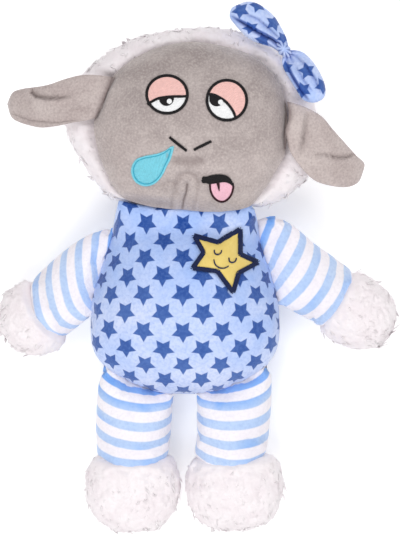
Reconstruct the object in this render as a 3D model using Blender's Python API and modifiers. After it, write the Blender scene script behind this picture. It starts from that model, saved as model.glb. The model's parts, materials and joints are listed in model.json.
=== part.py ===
"""A plush sheep that lies on its back: +X to the viewer's right, +Y to the head, +Z up from the belly.

The origin is the middle of the flat patch under the back. Every panel is a shell of sewn fabric,
every filling a closed body inside it, and every limb, ear and bow loop turns on its own seam.
"""
import math

import bmesh
import bpy
import numpy as np
from mathutils import Matrix, Vector

# Fabric: smooth panels, sherpa with its pile, appliques, and the space left between two pieces
FABRIC_WALL = 0.0012
SHERPA_WALL = 0.0055
PATCH_WALL = 0.0008
EAR_WALL = 0.0016
GAP = 0.0003

# Body, a rounded pear
TORSO_HALF_WIDTH = 0.0576
TORSO_HALF_LENGTH = 0.0576
TORSO_FRONT_DEPTH = 0.036
TORSO_SEAM_HEIGHT = 0.030
TORSO_BACK_SWELL = 0.034
TORSO_SIDE_SHARES = (
    (0.0, 1.02), (0.45, 1.02), (0.72, 0.98), (0.75, 0.75), (0.833, 0.52), (0.92, 0.25),
    (0.99, 0.0), (1.0, -0.22), (0.984, -0.47), (0.92, -0.625), (0.78, -0.74),
    (0.615, -0.845), (0.35, -0.955), (0.0, -1.0),
)
NECK_HEIGHT = 0.055
SWELL_SHARE = 0.6
SEAM_WEDGE_ANGLE = 62.0

# Head, wider than the body, with a flat face sewn into a sherpa hood
HEAD_HALF_WIDTH = 0.079
HEAD_HALF_HEIGHT = 0.058
HEAD_SHIFT = 0.003
HEAD_DROP_SHARE = 0.893
HEAD_TILT_ANGLE = -6.0
HEAD_BACK_DEPTH = 0.035
HEAD_BACK_SWELL = 0.042
HEAD_LIP_HEIGHT = 0.018
HEAD_BACK_SHARE = 0.8
HEAD_OUTLINE_SHARES = (
    (1.0, -0.05), (0.95, 0.31), (0.77, 0.68), (0.52, 0.91), (0.25, 1.01), (0.0, 1.0),
    (-0.28, 0.91), (-0.52, 0.785), (-0.73, 0.58), (-0.9, 0.31), (-0.99, -0.05),
    (-0.89, -0.36), (-0.76, -0.585), (-0.6, -0.845), (-0.38, -0.93), (0.0, -0.95),
    (0.38, -0.92), (0.61, -0.85), (0.76, -0.71), (0.96, -0.46),
)
FACE_HALF_WIDTH = 0.0585
FACE_HALF_HEIGHT = 0.050
FACE_DEPTH = 0.028
FACE_OUTLINE_SHARES = (
    (1.01, 0.0), (0.957, 0.37), (0.83, 0.626), (0.66, 0.806), (0.444, 0.9), (0.17, 0.945),
    (-0.065, 0.948), (-0.285, 0.886), (-0.513, 0.77), (-0.75, 0.56), (-0.9, 0.3),
    (-0.983, -0.084), (-0.98, -0.22), (-0.92, -0.468), (-0.812, -0.71), (-0.69, -0.93),
    (-0.57, -1.02), (-0.35, -1.044), (0.0, -1.05), (0.26, -1.036), (0.54, -0.984),
    (0.745, -0.94), (0.86, -0.6), (0.968, -0.374), (1.02, -0.196),
)

# Limbs: sleeves from a pinched seam to a straight cuff, then a sherpa hand or foot
PINCH = 0.0004
SEAM_GAP = 0.0009
AXIS_CLEARANCE = 0.0020
ARM_THICKNESS = 0.026
ARM_CUFF_WIDTH = 0.037
ARM_LEFT_SEAM_SHARES = ((-0.719, 0.75), (-1.0, -0.167))
ARM_RIGHT_SEAM_SHARES = ((0.729, 0.885), (1.0, -0.042))
ARM_LEFT_REACH = 0.038
ARM_RIGHT_REACH = 0.047
ARM_LEFT_AIM_ANGLE = 215.8
ARM_RIGHT_AIM_ANGLE = -31.1
ARM_BULGE = 0.005
HAND_LEFT_AIM_ANGLE = 213.2
HAND_RIGHT_AIM_ANGLE = -31.0
HAND_LEFT_LENGTH = 0.034
HAND_RIGHT_LENGTH = 0.041
HAND_WIDTH = 0.045
HAND_THICKNESS = 0.036
LEG_THICKNESS = 0.034
LEG_CUFF_WIDTH = 0.041
LEG_LEFT_SEAM_SHARES = ((-0.906, -0.646), (-0.114, -1.0))
LEG_RIGHT_SEAM_SHARES = ((0.938, -0.625), (0.13, -1.0))
LEG_LEFT_REACH = 0.0453
LEG_RIGHT_REACH = 0.0458
LEG_LEFT_AIM_ANGLE = 267.3
LEG_RIGHT_AIM_ANGLE = 265.9
LEG_BULGE = 0.002
FOOT_LEFT_AIM_ANGLE = 270.5
FOOT_RIGHT_AIM_ANGLE = 273.0
FOOT_LENGTH = 0.0485
FOOT_WIDTH = 0.058
FOOT_THICKNESS = 0.042
CUFF_RISE = 0.0025
LIMB_SWELL_SHARE = 0.72
CUFF_SHARE = 0.32
FOOT_SQUARE_SHARE = 2.5
HAND_SQUARE_SHARE = 2.1
SLEEVE_WEDGE_ANGLE = 42.0
SEAM_ROLL = 0.0009
LIMB_SHARES = (0.0, 0.04, 0.11, 0.22, 0.38, 0.58, 0.8, 1.0)
LIMB_INSIDE_SHARES = (0.2, 0.36, 0.58, 0.8, 1.0)
FILLING_SIDE_INSET = 0.003
TIP_SHARES = (0.0, 0.14, 0.34, 0.56, 0.76, 0.91, 0.985)

# Ears, two layers each, sewn into the face seam
EAR_LEFT_LENGTH = 0.058
EAR_RIGHT_LENGTH = 0.053
EAR_HALF_WIDTH = 0.0142
EAR_BASE_SHARE = 0.93
EAR_LEFT_SEAT_ANGLE = 170.0
EAR_RIGHT_SEAT_ANGLE = 4.7
EAR_LEFT_AIM_ANGLE = 185.0
EAR_RIGHT_AIM_ANGLE = -36.0
EAR_DROOP = 0.027
EAR_DROOP_SHARE = 2.2
EAR_ARCH = 0.002
EAR_REACH_SHARE = 0.985
EAR_ROWS = 9
EAR_COLUMNS = 7

# Bow
BOW_SEAT_ANGLE = 40.7
BOW_SEAT_SHARE = 0.5
BOW_TIE_HALF_SIZE = (0.0034, 0.0052, 0.0052)
BOW_LEFT_LENGTH = 0.0405
BOW_RIGHT_LENGTH = 0.0335
BOW_LEFT_HALF_WIDTH = 0.0112
BOW_RIGHT_HALF_WIDTH = 0.0098
BOW_LEFT_AIM_ANGLE = 136.0
BOW_RIGHT_AIM_ANGLE = -53.5
BOW_THICKNESS = 0.012
BOW_NECK_HALF_WIDTH = 0.005
BOW_NECK_THICKNESS = 0.004
BOW_RISE = 0.009
BOW_FULL_SHARE = 0.5
BOW_SHARES = (0.0, 0.08, 0.2, 0.36, 0.56, 0.75, 0.88, 0.96)
BOW_STEPS = 16

# Face and belly appliques, placed from the middle of the head or of the body
EYE_LEFT_PLACE = (-0.0152, 0.0149)
EYE_RIGHT_PLACE = (0.0205, 0.0152)
EYE_HALF_WIDTH = 0.0127
EYE_HALF_HEIGHT = 0.0123
NOSE_LEFT_ENDS = ((-0.0112, -0.0105), (-0.0003, -0.0174))
NOSE_RIGHT_ENDS = ((0.0044, -0.0165), (0.0136, -0.0100))
NOSE_HALF_WIDTH = 0.0009
DROP_PLACE = (-0.0226, -0.0313)
DROP_SIZE = 0.0108
DROP_SHARES = (
    (1.35, 1.49), (0.55, 0.97), (-0.14, 0.79), (-0.67, 0.49), (-0.88, 0.0), (-0.75, -0.46),
    (-0.44, -0.82), (0.04, -0.91), (0.49, -0.73), (0.87, -0.29), (1.15, 0.45), (1.32, 1.04),
)
TONGUE_PLACE = (0.0228, -0.0388)
TONGUE_HALF_WIDTH = 0.0066
TONGUE_HALF_HEIGHT = 0.0062
MOUTH_ENDS = ((0.0110, -0.0335), (0.0287, -0.0338))
MOUTH_HALF_WIDTH = 0.0019
MOUTH_ARCH = 0.0026
STAR_PLACE = (0.0215, 0.0245)
STAR_SIZE = 0.0225
STAR_INNER_SHARE = 0.8
STAR_LIFT = 0.0005
STAR_SHARES = (
    (0.52, 0.87), (-0.08, 0.46), (-0.76, 0.63), (-0.50, 0.16), (-0.80, -0.29),
    (-0.11, -0.36), (0.32, -0.96), (0.47, -0.40), (1.01, -0.10), (0.51, 0.11),
)

# How finely the skins are divided
ROUND_STEPS = 36
TORSO_STEPS = 12
HEAD_STEPS = 18
LIP_STEPS = 3
LIMB_STEPS = 16
PATCH_STEPS = 20
PATCH_RINGS = 2
STAR_STEPS = 40
STAR_RINGS = 4
TOUCH_SHARE = 0.0001
LOOK_SHARE = 0.01
ROLL_TURNS = (math.pi / 6, math.pi / 3)

TURN = 2 * math.pi

for item in list(bpy.data.objects):
    bpy.data.objects.remove(item)

collection = bpy.data.collections.new("plush_sheep")
bpy.context.scene.collection.children.link(collection)


def material(name, colour, roughness):
    """A plain fabric surface."""
    made = bpy.data.materials.new(name)
    made.use_nodes = True
    shader = made.node_tree.nodes["Principled BSDF"]
    shader.inputs["Base Color"].default_value = (*colour, 1)
    shader.inputs["Roughness"].default_value = roughness
    shader.inputs["Metallic"].default_value = 0
    return made


STAR_PRINT = material("star_print_minky", (0.38, 0.55, 0.88), 0.8)
STRIPE = material("striped_minky", (0.72, 0.82, 0.96), 0.8)
VELBOA = material("grey_velboa", (0.46, 0.42, 0.40), 0.85)
SHERPA = material("white_sherpa", (0.88, 0.86, 0.86), 0.95)
FILLING = material("polyester_filling", (0.93, 0.93, 0.91), 1.0)
THREAD = material("black_thread", (0.02, 0.02, 0.02), 0.5)
EYE_THREAD = material("eye_thread", (0.93, 0.62, 0.52), 0.5)
DROP_THREAD = material("turquoise_thread", (0.15, 0.66, 0.74), 0.5)
TONGUE_THREAD = material("pink_thread", (0.85, 0.42, 0.52), 0.5)
STAR_FABRIC = material("yellow_fabric", (0.97, 0.76, 0.18), 0.7)
BORDER_THREAD = material("navy_thread", (0.02, 0.05, 0.16), 0.5)


def body_object(name, mesh, surface, parent=None):
    """Put a finished mesh, given in world places, into the collection."""
    data = bpy.data.meshes.new(name)
    mesh.to_mesh(data)
    mesh.free()
    data.materials.append(surface)
    data.shade_smooth()
    made = bpy.data.objects.new(name, data)
    collection.objects.link(made)
    if parent:
        data.transform(parent.matrix_world.inverted())
        made.parent = parent
    return made


def hinge(name, place, direction, parent=None):
    """An empty on a joint's axis, its X along the axis."""
    made = bpy.data.objects.new(name, None)
    turned = Vector(direction).to_track_quat("X", "Z").to_matrix().to_4x4()
    world = Matrix.Translation(place) @ turned
    collection.objects.link(made)
    if parent:
        made.parent = parent
        world = parent.matrix_world.inverted() @ world
    made.matrix_basis = world
    bpy.context.view_layer.update()
    return made


def aim(angle):
    """Unit direction in the plane of the table."""
    return Vector((math.cos(math.radians(angle)), math.sin(math.radians(angle))))


def across(direction):
    """The direction a quarter turn to the left."""
    return Vector((-direction.y, direction.x))


def lift_axis(outward):
    """Axis about which a positive turn raises what points outwards."""
    return Vector((outward.y, -outward.x, 0))


def blend(low, high, share):
    """The value a share of the way from low to high."""
    return low + (high - low) * share


def smooth_loop(points, steps=8):
    """Points along a smooth closed curve through the given ones."""
    spots = [np.array(point) for point in points]
    count = len(spots)
    made = []
    for index in range(count):
        before, start = spots[index - 1], spots[index]
        end, after = spots[(index + 1) % count], spots[(index + 2) % count]
        for step in range(steps):
            t = step / steps
            made.append(
                start
                + (end - before) * t / 2
                + (2 * before - 5 * start + 4 * end - after) * t ** 2 / 2
                + (3 * start - before - 3 * end + after) * t ** 3 / 2
            )
    return np.array(made)


class Outline:
    """A closed outline, as its radius at each angle round the middle.

    Straight seams cut it off: each is the angle of its outward normal and its distance.
    """

    def __init__(self, points, seams=()):
        dense = smooth_loop(points)
        self.angles = np.arctan2(dense[:, 1], dense[:, 0])
        self.radii = np.hypot(dense[:, 0], dense[:, 1])
        self.seams = seams

    def reach(self, angle):
        """Radius of the outline itself."""
        radius = float(np.interp(angle, self.angles, self.radii, period=TURN))
        for normal, distance in self.seams:
            facing = math.cos(angle - normal)
            if facing > 0:
                radius = min(radius, distance / facing)
        return radius

    def radius(self, angle, inset=0):
        """Radius of the outline moved inwards by the inset."""
        here = self.reach(angle)
        change = self.reach(angle + LOOK_SHARE) - self.reach(angle - LOOK_SHARE)
        slope = change / (2 * LOOK_SHARE)
        return here - inset * math.hypot(1, slope / here)

    def place(self, angle, inset=0):
        """Point of the outline at the angle."""
        radius = self.radius(angle, inset)
        return Vector((radius * math.cos(angle), radius * math.sin(angle)))


def scaled(shares, width, height):
    """Share points of an outline as real ones."""
    return [(x * width, y * height) for x, y in shares]


def swell(share):
    """How full a stuffed panel is, from 1 in its middle to 0 at its seam."""
    return max(math.cos(min(share, 1) * math.pi / 2), 0) ** SWELL_SHARE


def softer_least(values):
    """The least of some depths, with a rounded change from one to the next."""
    if min(values) <= 0:
        return 0
    return sum(value ** -4 for value in values) ** -0.25


# Body form
LEFT_SIDE_SHARES = [(-x, y) for x, y in reversed(TORSO_SIDE_SHARES[1:-1])]
TORSO_POINTS = scaled(
    list(TORSO_SIDE_SHARES) + LEFT_SIDE_SHARES, TORSO_HALF_WIDTH, TORSO_HALF_LENGTH
)
TORSO = Outline(TORSO_POINTS, [(math.pi / 2, NECK_HEIGHT - GAP / 2)])
WEDGE_SLOPE = math.tan(math.radians(SEAM_WEDGE_ANGLE))
SLEEVE_WEDGE_SLOPE = math.tan(math.radians(SLEEVE_WEDGE_ANGLE))


class Seam:
    """Where a limb is sewn to the body, and the straight axis just outside it."""

    def __init__(self, shares, level=None):
        start, end = (
            math.atan2(y * TORSO_HALF_LENGTH, x * TORSO_HALF_WIDTH) for x, y in shares
        )
        if abs(end - start) > math.pi:
            end += math.copysign(TURN, start - end)
        self.start, self.end = start, end
        first, last = self.edge(0), self.edge(1)
        self.along = Vector((1, 0)) if level else (last - first).normalized()
        outward = across(self.along)
        middle = (first + last) / 2
        self.outward = outward if outward.dot(middle) > 0 else -outward
        spots = [self.edge(step / LIMB_STEPS) for step in range(LIMB_STEPS + 1)]
        self.distance = max(spot.dot(self.outward) for spot in spots) + AXIS_CLEARANCE
        self.middle = middle + self.outward * (self.distance - middle.dot(self.outward))

    def edge(self, share, away=0):
        """A point on the body's outline along the seam, moved outwards by a distance."""
        return TORSO.place(blend(self.start, self.end, share), -away)


ARM_LEFT_SEAM = Seam(ARM_LEFT_SEAM_SHARES)
ARM_RIGHT_SEAM = Seam(ARM_RIGHT_SEAM_SHARES)
LEG_LEFT_SEAM = Seam(LEG_LEFT_SEAM_SHARES, level=True)
LEG_RIGHT_SEAM = Seam(LEG_RIGHT_SEAM_SHARES, level=True)
LIMB_SEAMS = (ARM_LEFT_SEAM, ARM_RIGHT_SEAM, LEG_LEFT_SEAM, LEG_RIGHT_SEAM)


def torso_depth(place, share, bulge, inset):
    """Depth of the body's skin from the plane of its side seams, thin beside every seam axis."""
    lean = inset * math.hypot(1, WEDGE_SLOPE)
    depths = [(bulge - inset) * swell(share)]
    depths.append((NECK_HEIGHT - place.y) * WEDGE_SLOPE - lean)
    for seam in LIMB_SEAMS:
        depths.append((seam.distance - place.dot(seam.outward)) * WEDGE_SLOPE - lean)
    return softer_least(depths)


def torso_point(unit, inset, side):
    """Point of the front or back panel for a point of the unit ball; the back lies flat at zero."""
    angle = math.atan2(unit.y, unit.x)
    share = min(math.hypot(unit.x, unit.y), 1)
    place = TORSO.place(angle, inset) * share
    bulge = TORSO_FRONT_DEPTH if side > 0 else TORSO_BACK_SWELL
    depth = max(torso_depth(place, share, bulge, inset), GAP / 2)
    return Vector((*place, max(TORSO_SEAM_HEIGHT + side * depth, inset)))


def torso_filling_point(unit, inset):
    """Point of the body's filling, which meets itself in the plane of the side seams."""
    place = torso_point(unit, inset, math.copysign(1, unit.z))
    if abs(unit.z) < TOUCH_SHARE:
        place.z = TORSO_SEAM_HEIGHT
    return place


def on_torso(x, y, lift):
    """Point at a height over the belly, straight above a place in the plane."""
    place = Vector((x, y))
    share = place.length / TORSO.radius(math.atan2(y, x))
    depth = torso_depth(place, share, TORSO_FRONT_DEPTH, 0)
    return Vector((x, y, TORSO_SEAM_HEIGHT + depth + lift))


# Head form, in its own upright frame and then tilted
HEAD_PLACE = Vector((HEAD_SHIFT, NECK_HEIGHT + HEAD_DROP_SHARE * HEAD_HALF_HEIGHT, 0))
HEAD_TILT = math.radians(HEAD_TILT_ANGLE)
HEAD_WORLD = Matrix.Translation(HEAD_PLACE) @ Matrix.Rotation(HEAD_TILT, 4, "Z")
CHIN_SEAM = (-math.pi / 2 - HEAD_TILT, HEAD_PLACE.y - NECK_HEIGHT - GAP / 2)
HEAD = Outline(scaled(HEAD_OUTLINE_SHARES, HEAD_HALF_WIDTH, HEAD_HALF_HEIGHT), [CHIN_SEAM])
FACE = Outline(scaled(FACE_OUTLINE_SHARES, FACE_HALF_WIDTH, FACE_HALF_HEIGHT), [CHIN_SEAM])
FACE_SEAM_HEIGHT = HEAD_BACK_DEPTH + HEAD_LIP_HEIGHT
LIP_LATITUDE = math.pi * LIP_STEPS / HEAD_STEPS


def hood_lip(angle, climb, inset=0):
    """Point of the hood between its widest line and the face seam, for a climb up to a quarter."""
    widest = HEAD.radius(angle, inset)
    seam = min(FACE.radius(angle, inset), widest)
    radius = blend(seam, widest, math.cos(climb))
    height = HEAD_BACK_DEPTH + (HEAD_LIP_HEIGHT - GAP / 2) * math.sin(climb)
    return HEAD_WORLD @ Vector((radius * math.cos(angle), radius * math.sin(angle), height))


def hood_point(unit, inset):
    """Point of the sherpa hood for a point of the unit ball."""
    angle = math.atan2(unit.y, unit.x)
    latitude = math.asin(max(-1, min(1, unit.z)))
    if latitude > 0:
        return hood_lip(angle, min(latitude / LIP_LATITUDE, 1) * math.pi / 2, inset)
    radius = HEAD.radius(angle, inset) * math.cos(latitude) ** HEAD_BACK_SHARE
    depth = (HEAD_BACK_SWELL - inset) * math.sin(-latitude) ** HEAD_BACK_SHARE
    height = max(HEAD_BACK_DEPTH - depth, inset)
    return HEAD_WORLD @ Vector((radius * math.cos(angle), radius * math.sin(angle), height))


def face_height(angle, radius, inset=0):
    """Height of the face's dome at a place in the head's own frame."""
    share = radius / FACE.radius(angle, inset)
    return FACE_SEAM_HEIGHT + max((FACE_DEPTH - inset) * swell(share), GAP / 2)


def face_point(unit, inset):
    """Point of the face panel for a point of the unit ball."""
    angle = math.atan2(unit.y, unit.x)
    radius = FACE.radius(angle, inset) * min(math.hypot(unit.x, unit.y), 1)
    height = face_height(angle, radius, inset)
    return HEAD_WORLD @ Vector((radius * math.cos(angle), radius * math.sin(angle), height))


def head_filling_point(unit, inset):
    """Point of the head's filling: inside the hood, and above it inside the face's dome."""
    latitude = math.asin(max(-1, min(1, unit.z)))
    if latitude <= LIP_LATITUDE + TOUCH_SHARE:
        return hood_point(unit, inset)
    angle = math.atan2(unit.y, unit.x)
    share = math.hypot(unit.x, unit.y) / math.cos(LIP_LATITUDE)
    radius = FACE.radius(angle, inset) * share
    dome = (FACE_DEPTH - FABRIC_WALL - GAP) * swell(share)
    height = FACE_SEAM_HEIGHT + max(dome, GAP / 2)
    return HEAD_WORLD @ Vector((radius * math.cos(angle), radius * math.sin(angle), height))


def on_face(x, y, lift):
    """Point at a height over the face, straight above a place in the head's own frame."""
    height = face_height(math.atan2(y, x), math.hypot(x, y)) + lift
    return HEAD_WORLD @ Vector((x, y, height))


def moulded_part(mesh, point, inset, kept, segments, rings):
    """Add the kept part of a unit ball to the mesh, moved by the point function; return its rim."""
    ball = bmesh.ops.create_uvsphere(mesh, u_segments=segments, v_segments=rings, radius=1)
    spare = [vertex for vertex in ball["verts"] if not kept(vertex.co.z)]
    bmesh.ops.delete(mesh, geom=spare, context="VERTS")
    skin = [vertex for vertex in ball["verts"] if vertex.is_valid]
    rim = [vertex for vertex in skin if vertex.is_boundary]
    rim.sort(key=lambda vertex: math.atan2(vertex.co.y, vertex.co.x) % (TURN - TOUCH_SHARE))
    for vertex in skin:
        vertex.co = point(vertex.co.copy(), inset)
    return rim


def shell(name, surface, point, wall, kept, rings, parent=None):
    """A sewn panel with a real thickness: an outer skin, an inner one and the rim between."""
    mesh = bmesh.new()
    outer, inner = (
        moulded_part(mesh, point, inset, kept, ROUND_STEPS, rings) for inset in (0, wall)
    )
    for index in range(ROUND_STEPS):
        mesh.faces.new((outer[index - 1], outer[index], inner[index], inner[index - 1]))
    bmesh.ops.recalc_face_normals(mesh, faces=mesh.faces)
    return body_object(name, mesh, surface, parent)


def filling(name, point, inset, rings, parent=None):
    """A closed body of filling inside its panels."""
    mesh = bmesh.new()
    moulded_part(mesh, point, inset, lambda height: True, ROUND_STEPS, rings)
    bmesh.ops.recalc_face_normals(mesh, faces=mesh.faces)
    return body_object(name, mesh, FILLING, parent)


def loft(name, surface, rings, parent=None):
    """A closed skin over a row of flat rings, each end closed straight across from side to side."""
    mesh = bmesh.new()
    rows = [[mesh.verts.new(place) for place in ring] for ring in rings]
    count = len(rows[0])
    for near, far in zip(rows, rows[1:]):
        for index in range(count):
            after = (index + 1) % count
            mesh.faces.new((near[index], near[after], far[after], far[index]))
    for row in (rows[0], rows[-1]):
        for index in range(count // 2):
            corners = [row[index], row[index + 1], row[-index - 1], row[-index % count]]
            mesh.faces.new(list(dict.fromkeys(corners)))
    bmesh.ops.recalc_face_normals(mesh, faces=mesh.faces)
    return body_object(name, mesh, surface, parent)


def thickened(name, surface, mesh, wall, facing, parent):
    """An open sheet given a thickness, upwards where facing is 1 and downwards where it is -1."""
    bmesh.ops.recalc_face_normals(mesh, faces=mesh.faces)
    if sum(face.normal.z for face in mesh.faces) * facing < 0:
        bmesh.ops.reverse_faces(mesh, faces=mesh.faces)
    made = body_object(name, mesh, surface, parent)
    thick = made.modifiers.new("thickness", "SOLIDIFY")
    thick.thickness = wall
    thick.offset = 1
    return made


def applique(name, surface, rim, over, parent, inner=0, rings=PATCH_RINGS, steps=PATCH_STEPS):
    """A flat patch with rings from its middle, or from an inner share, out to its rim."""
    mesh = bmesh.new()
    first = 1 if inner == 0 else 0
    rows = []
    for ring in range(first, rings + 1):
        share = blend(inner, 1, ring / rings)
        rows.append([mesh.verts.new(over(*rim(step / steps, share))) for step in range(steps)])
    for near, far in zip(rows, rows[1:]):
        for index in range(steps):
            after = (index + 1) % steps
            mesh.faces.new((near[index], far[index], far[after], near[after]))
    if first:
        middle = mesh.verts.new(over(*rim(0, 0)))
        for index in range(steps):
            mesh.faces.new((middle, rows[0][index], rows[0][(index + 1) % steps]))
    return thickened(name, surface, mesh, PATCH_WALL, 1, parent)


def oval(place, half_width, half_height):
    """Rim of an oval patch."""
    def rim(turn, share):
        angle = turn * TURN
        return (
            place[0] + half_width * share * math.cos(angle),
            place[1] + half_height * share * math.sin(angle),
        )
    return rim


def bar(ends, half_width, arch=0):
    """Rim of a straight or arched bar with round ends."""
    start, end = (Vector(spot) for spot in ends)
    half = (end - start) / 2
    side = across(half.normalized())

    def rim(turn, share):
        cosine, sine = math.cos(turn * TURN), math.sin(turn * TURN)
        place = (start + end) / 2 + half * share * cosine + side * half_width * share * sine
        place += side * arch * (1 - (share * cosine) ** 2)
        return tuple(place)
    return rim


def freeform(place, shares, size):
    """Rim of a patch with a smooth outline of its own."""
    outline = Outline(scaled(shares, size, size))

    def rim(turn, share):
        spot = outline.place(turn * TURN) * share
        return place[0] + spot.x, place[1] + spot.y
    return rim


def star(turn, share):
    """Rim of the star patch, straight from each corner to the next."""
    corner, portion = divmod(turn * len(STAR_SHARES), 1)
    start = Vector(STAR_SHARES[int(corner)])
    end = Vector(STAR_SHARES[(int(corner) + 1) % len(STAR_SHARES)])
    return tuple(Vector(STAR_PLACE) + start.lerp(end, portion) * STAR_SIZE * share)


def star_fabric(turn, share):
    """Rim of the yellow fabric, inside the border's stitches."""
    return star(turn, share * (STAR_INNER_SHARE - GAP / STAR_SIZE))


def superellipse(angle, square):
    """Cosine and sine of an angle, squared off by the given power."""
    cosine, sine = math.cos(angle), math.sin(angle)
    return (
        math.copysign(abs(cosine) ** (2 / square), cosine),
        math.copysign(abs(sine) ** (2 / square), sine),
    )


def inside(half, inset):
    """Half a thickness less a wall, still above zero where the cloth is pinched."""
    return half - inset if half > 2 * inset else half ** 2 / (4 * inset)


def ease_in(share):
    """A quarter of a sine wave: quick at first and level at the end."""
    return math.sin(min(share, 1) * math.pi / 2)


class Limb:
    """An arm or a leg: a sleeve from its seam to a cuff, and the hand or foot beyond."""

    def __init__(self, seam, reach, angles, thickness, cuff, bulge, tip_size, square):
        self.seam = seam
        self.thickness = thickness
        self.cuff = cuff
        self.bulge = bulge
        self.tip_length, self.tip_width, self.tip_thickness = tip_size
        self.square = square
        self.out = aim(angles[1])
        self.side = across(self.out)
        first, last = seam.edge(0), seam.edge(1)
        self.seam_width = (last - first).length
        self.wrist = (first + last) / 2 + aim(angles[0]) * reach
        if (first - self.wrist).dot(self.side) < 0:
            self.side = -self.side

    def sleeve_ring(self, share, inset=0, side_inset=0):
        """Ring of the sleeve, a share of the way from the seam to the cuff."""
        full = blend(PINCH, self.thickness / 2, ease_in(share / LIMB_SWELL_SHARE))
        drop = (3 - 2 * share) * share ** 2
        middle = blend(TORSO_SEAM_HEIGHT, self.tip_thickness / 2, drop)
        width = blend(self.seam_width, self.cuff, share)
        ring = []
        for step in range(LIMB_STEPS):
            cosine, sine = superellipse(step / LIMB_STEPS * TURN, HAND_SQUARE_SHARE)
            portion = (1 - cosine * (1 - 2 * (inset + side_inset) / width)) / 2
            sewn = self.seam.edge(portion, SEAM_GAP)
            cut = self.wrist + self.side * self.cuff * (1 - 2 * portion) / 2
            place = sewn.lerp(cut, share)
            place += self.side * self.bulge * (1 - portion) * 4 * share * (1 - share)
            place -= self.out * GAP / 2 * share
            past = max(place.dot(self.seam.outward) - self.seam.distance, 0)
            room = past * SLEEVE_WEDGE_SLOPE + SEAM_ROLL + TORSO_SEAM_HEIGHT - middle
            half = softer_least([full, room])
            if inset:
                half = inside(half, inset)
            ring.append(Vector((*place, middle + sine * half)))
        return ring

    def tip_ring(self, share, inset, cuff_inset):
        """Ring of the hand or foot, a share of the way from the cuff to its end."""
        length = self.tip_length - inset
        along = share * length
        full_reach = CUFF_SHARE * self.tip_length
        grown = ease_in(along / full_reach)
        beyond = max(along - full_reach, 0) / (length - full_reach)
        taper = (1 - beyond ** self.square) ** (1 / self.square)
        half_width = blend(self.cuff / 2 - cuff_inset, self.tip_width / 2 - inset, grown) * taper
        half_depth = blend(self.thickness / 2 - cuff_inset, self.tip_thickness / 2 - inset, grown) * taper
        ring = []
        for step in range(LIMB_STEPS):
            cosine, sine = superellipse(step / LIMB_STEPS * TURN, HAND_SQUARE_SHARE)
            place = self.wrist + self.out * (along + GAP / 2) + self.side * cosine * half_width
            ring.append(Vector((*place, self.tip_thickness / 2 + sine * half_depth)))
        return ring


def build_limb(kind, tip, side, limb):
    """The sleeve, the hand or foot, and the filling of one limb, on a hinge at its seam."""
    seam = limb.seam
    joint = hinge(f"{kind}_{side}_axis", (*seam.middle, TORSO_SEAM_HEIGHT), lift_axis(seam.outward))
    outer = [limb.sleeve_ring(share) for share in LIMB_SHARES]
    inner = [limb.sleeve_ring(share, FABRIC_WALL) for share in reversed(LIMB_INSIDE_SHARES)]
    loft(f"{kind}_{side}_sleeve", STRIPE, outer + inner, joint)
    outer = [limb.tip_ring(share, 0, -CUFF_RISE) for share in reversed(TIP_SHARES)]
    inner = [limb.tip_ring(share, SHERPA_WALL, FABRIC_WALL) for share in TIP_SHARES]
    loft(f"{tip}_{side}", SHERPA, outer + inner, joint)
    within = FABRIC_WALL + GAP
    core = [limb.sleeve_ring(share, within, FILLING_SIDE_INSET) for share in LIMB_INSIDE_SHARES[1:]]
    core += [limb.tip_ring(share, SHERPA_WALL + GAP, within) for share in TIP_SHARES]
    loft(f"{kind}_{side}_stuffing", FILLING, core, joint)


class Ear:
    """One ear: its seat on the face seam, its aim, and the surface between its two layers."""

    def __init__(self, seat_angle, aim_angle, length):
        self.length = length
        seat = math.radians(seat_angle)
        half_turn = EAR_BASE_SHARE * EAR_HALF_WIDTH / FACE_HALF_WIDTH
        sewn = [FACE.place(seat + turn) for turn in (-half_turn, 0, half_turn)]
        chord = (sewn[2] - sewn[0]).normalized()
        outward = -across(chord)
        clear = max(spot.dot(outward) for spot in sewn) + EAR_WALL + GAP
        middle = (sewn[0] + sewn[2]) / 2
        middle += outward * (clear - middle.dot(outward))
        self.root = HEAD_WORLD @ Vector((*middle, FACE_SEAM_HEIGHT + EAR_WALL + GAP))
        turned = HEAD_WORLD.to_3x3()
        self.outward = turned @ Vector((*outward, 0))
        self.chord = turned @ Vector((*chord, 0))
        self.aim = Vector((*aim(aim_angle), 0))
        self.side = Vector((*across(self.aim), 0))
        if self.side.dot(self.chord) < 0:
            self.side = -self.side

    def place(self, along, over, lift):
        """Point for shares of the length and of the half width, at a lift from the middle surface."""
        rounding = math.sqrt(1 - along ** 5)
        turned = min(2 * along, 1)
        half_width = EAR_HALF_WIDTH * blend(EAR_BASE_SHARE, 1, ease_in(turned)) * rounding
        lateral = self.chord.lerp(self.side, turned).normalized()
        place = self.root + self.aim * self.length * along + lateral * half_width * over
        droop = EAR_DROOP * along ** EAR_DROOP_SHARE + EAR_ARCH * over ** 2 * turned
        return place + Vector((0, 0, lift - droop))


def build_ear(side, ear, parent):
    """The two velboa layers of one ear, on a hinge at its seam."""
    joint = hinge(f"ear_{side}_axis", ear.root, lift_axis(ear.outward), parent)
    for layer, facing in (("front", 1), ("back", -1)):
        mesh = bmesh.new()
        rows = []
        for row in range(EAR_ROWS):
            along = EAR_REACH_SHARE * ease_in(row / (EAR_ROWS - 1))
            overs = [2 * column / (EAR_COLUMNS - 1) - 1 for column in range(EAR_COLUMNS)]
            rows.append([mesh.verts.new(ear.place(along, over, facing * GAP / 2)) for over in overs])
        for near, far in zip(rows, rows[1:]):
            for column in range(EAR_COLUMNS - 1):
                mesh.faces.new((near[column], near[column + 1], far[column + 1], far[column]))
        thickened(f"ear_{side}_{layer}", VELBOA, mesh, EAR_WALL, facing, joint)


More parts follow.
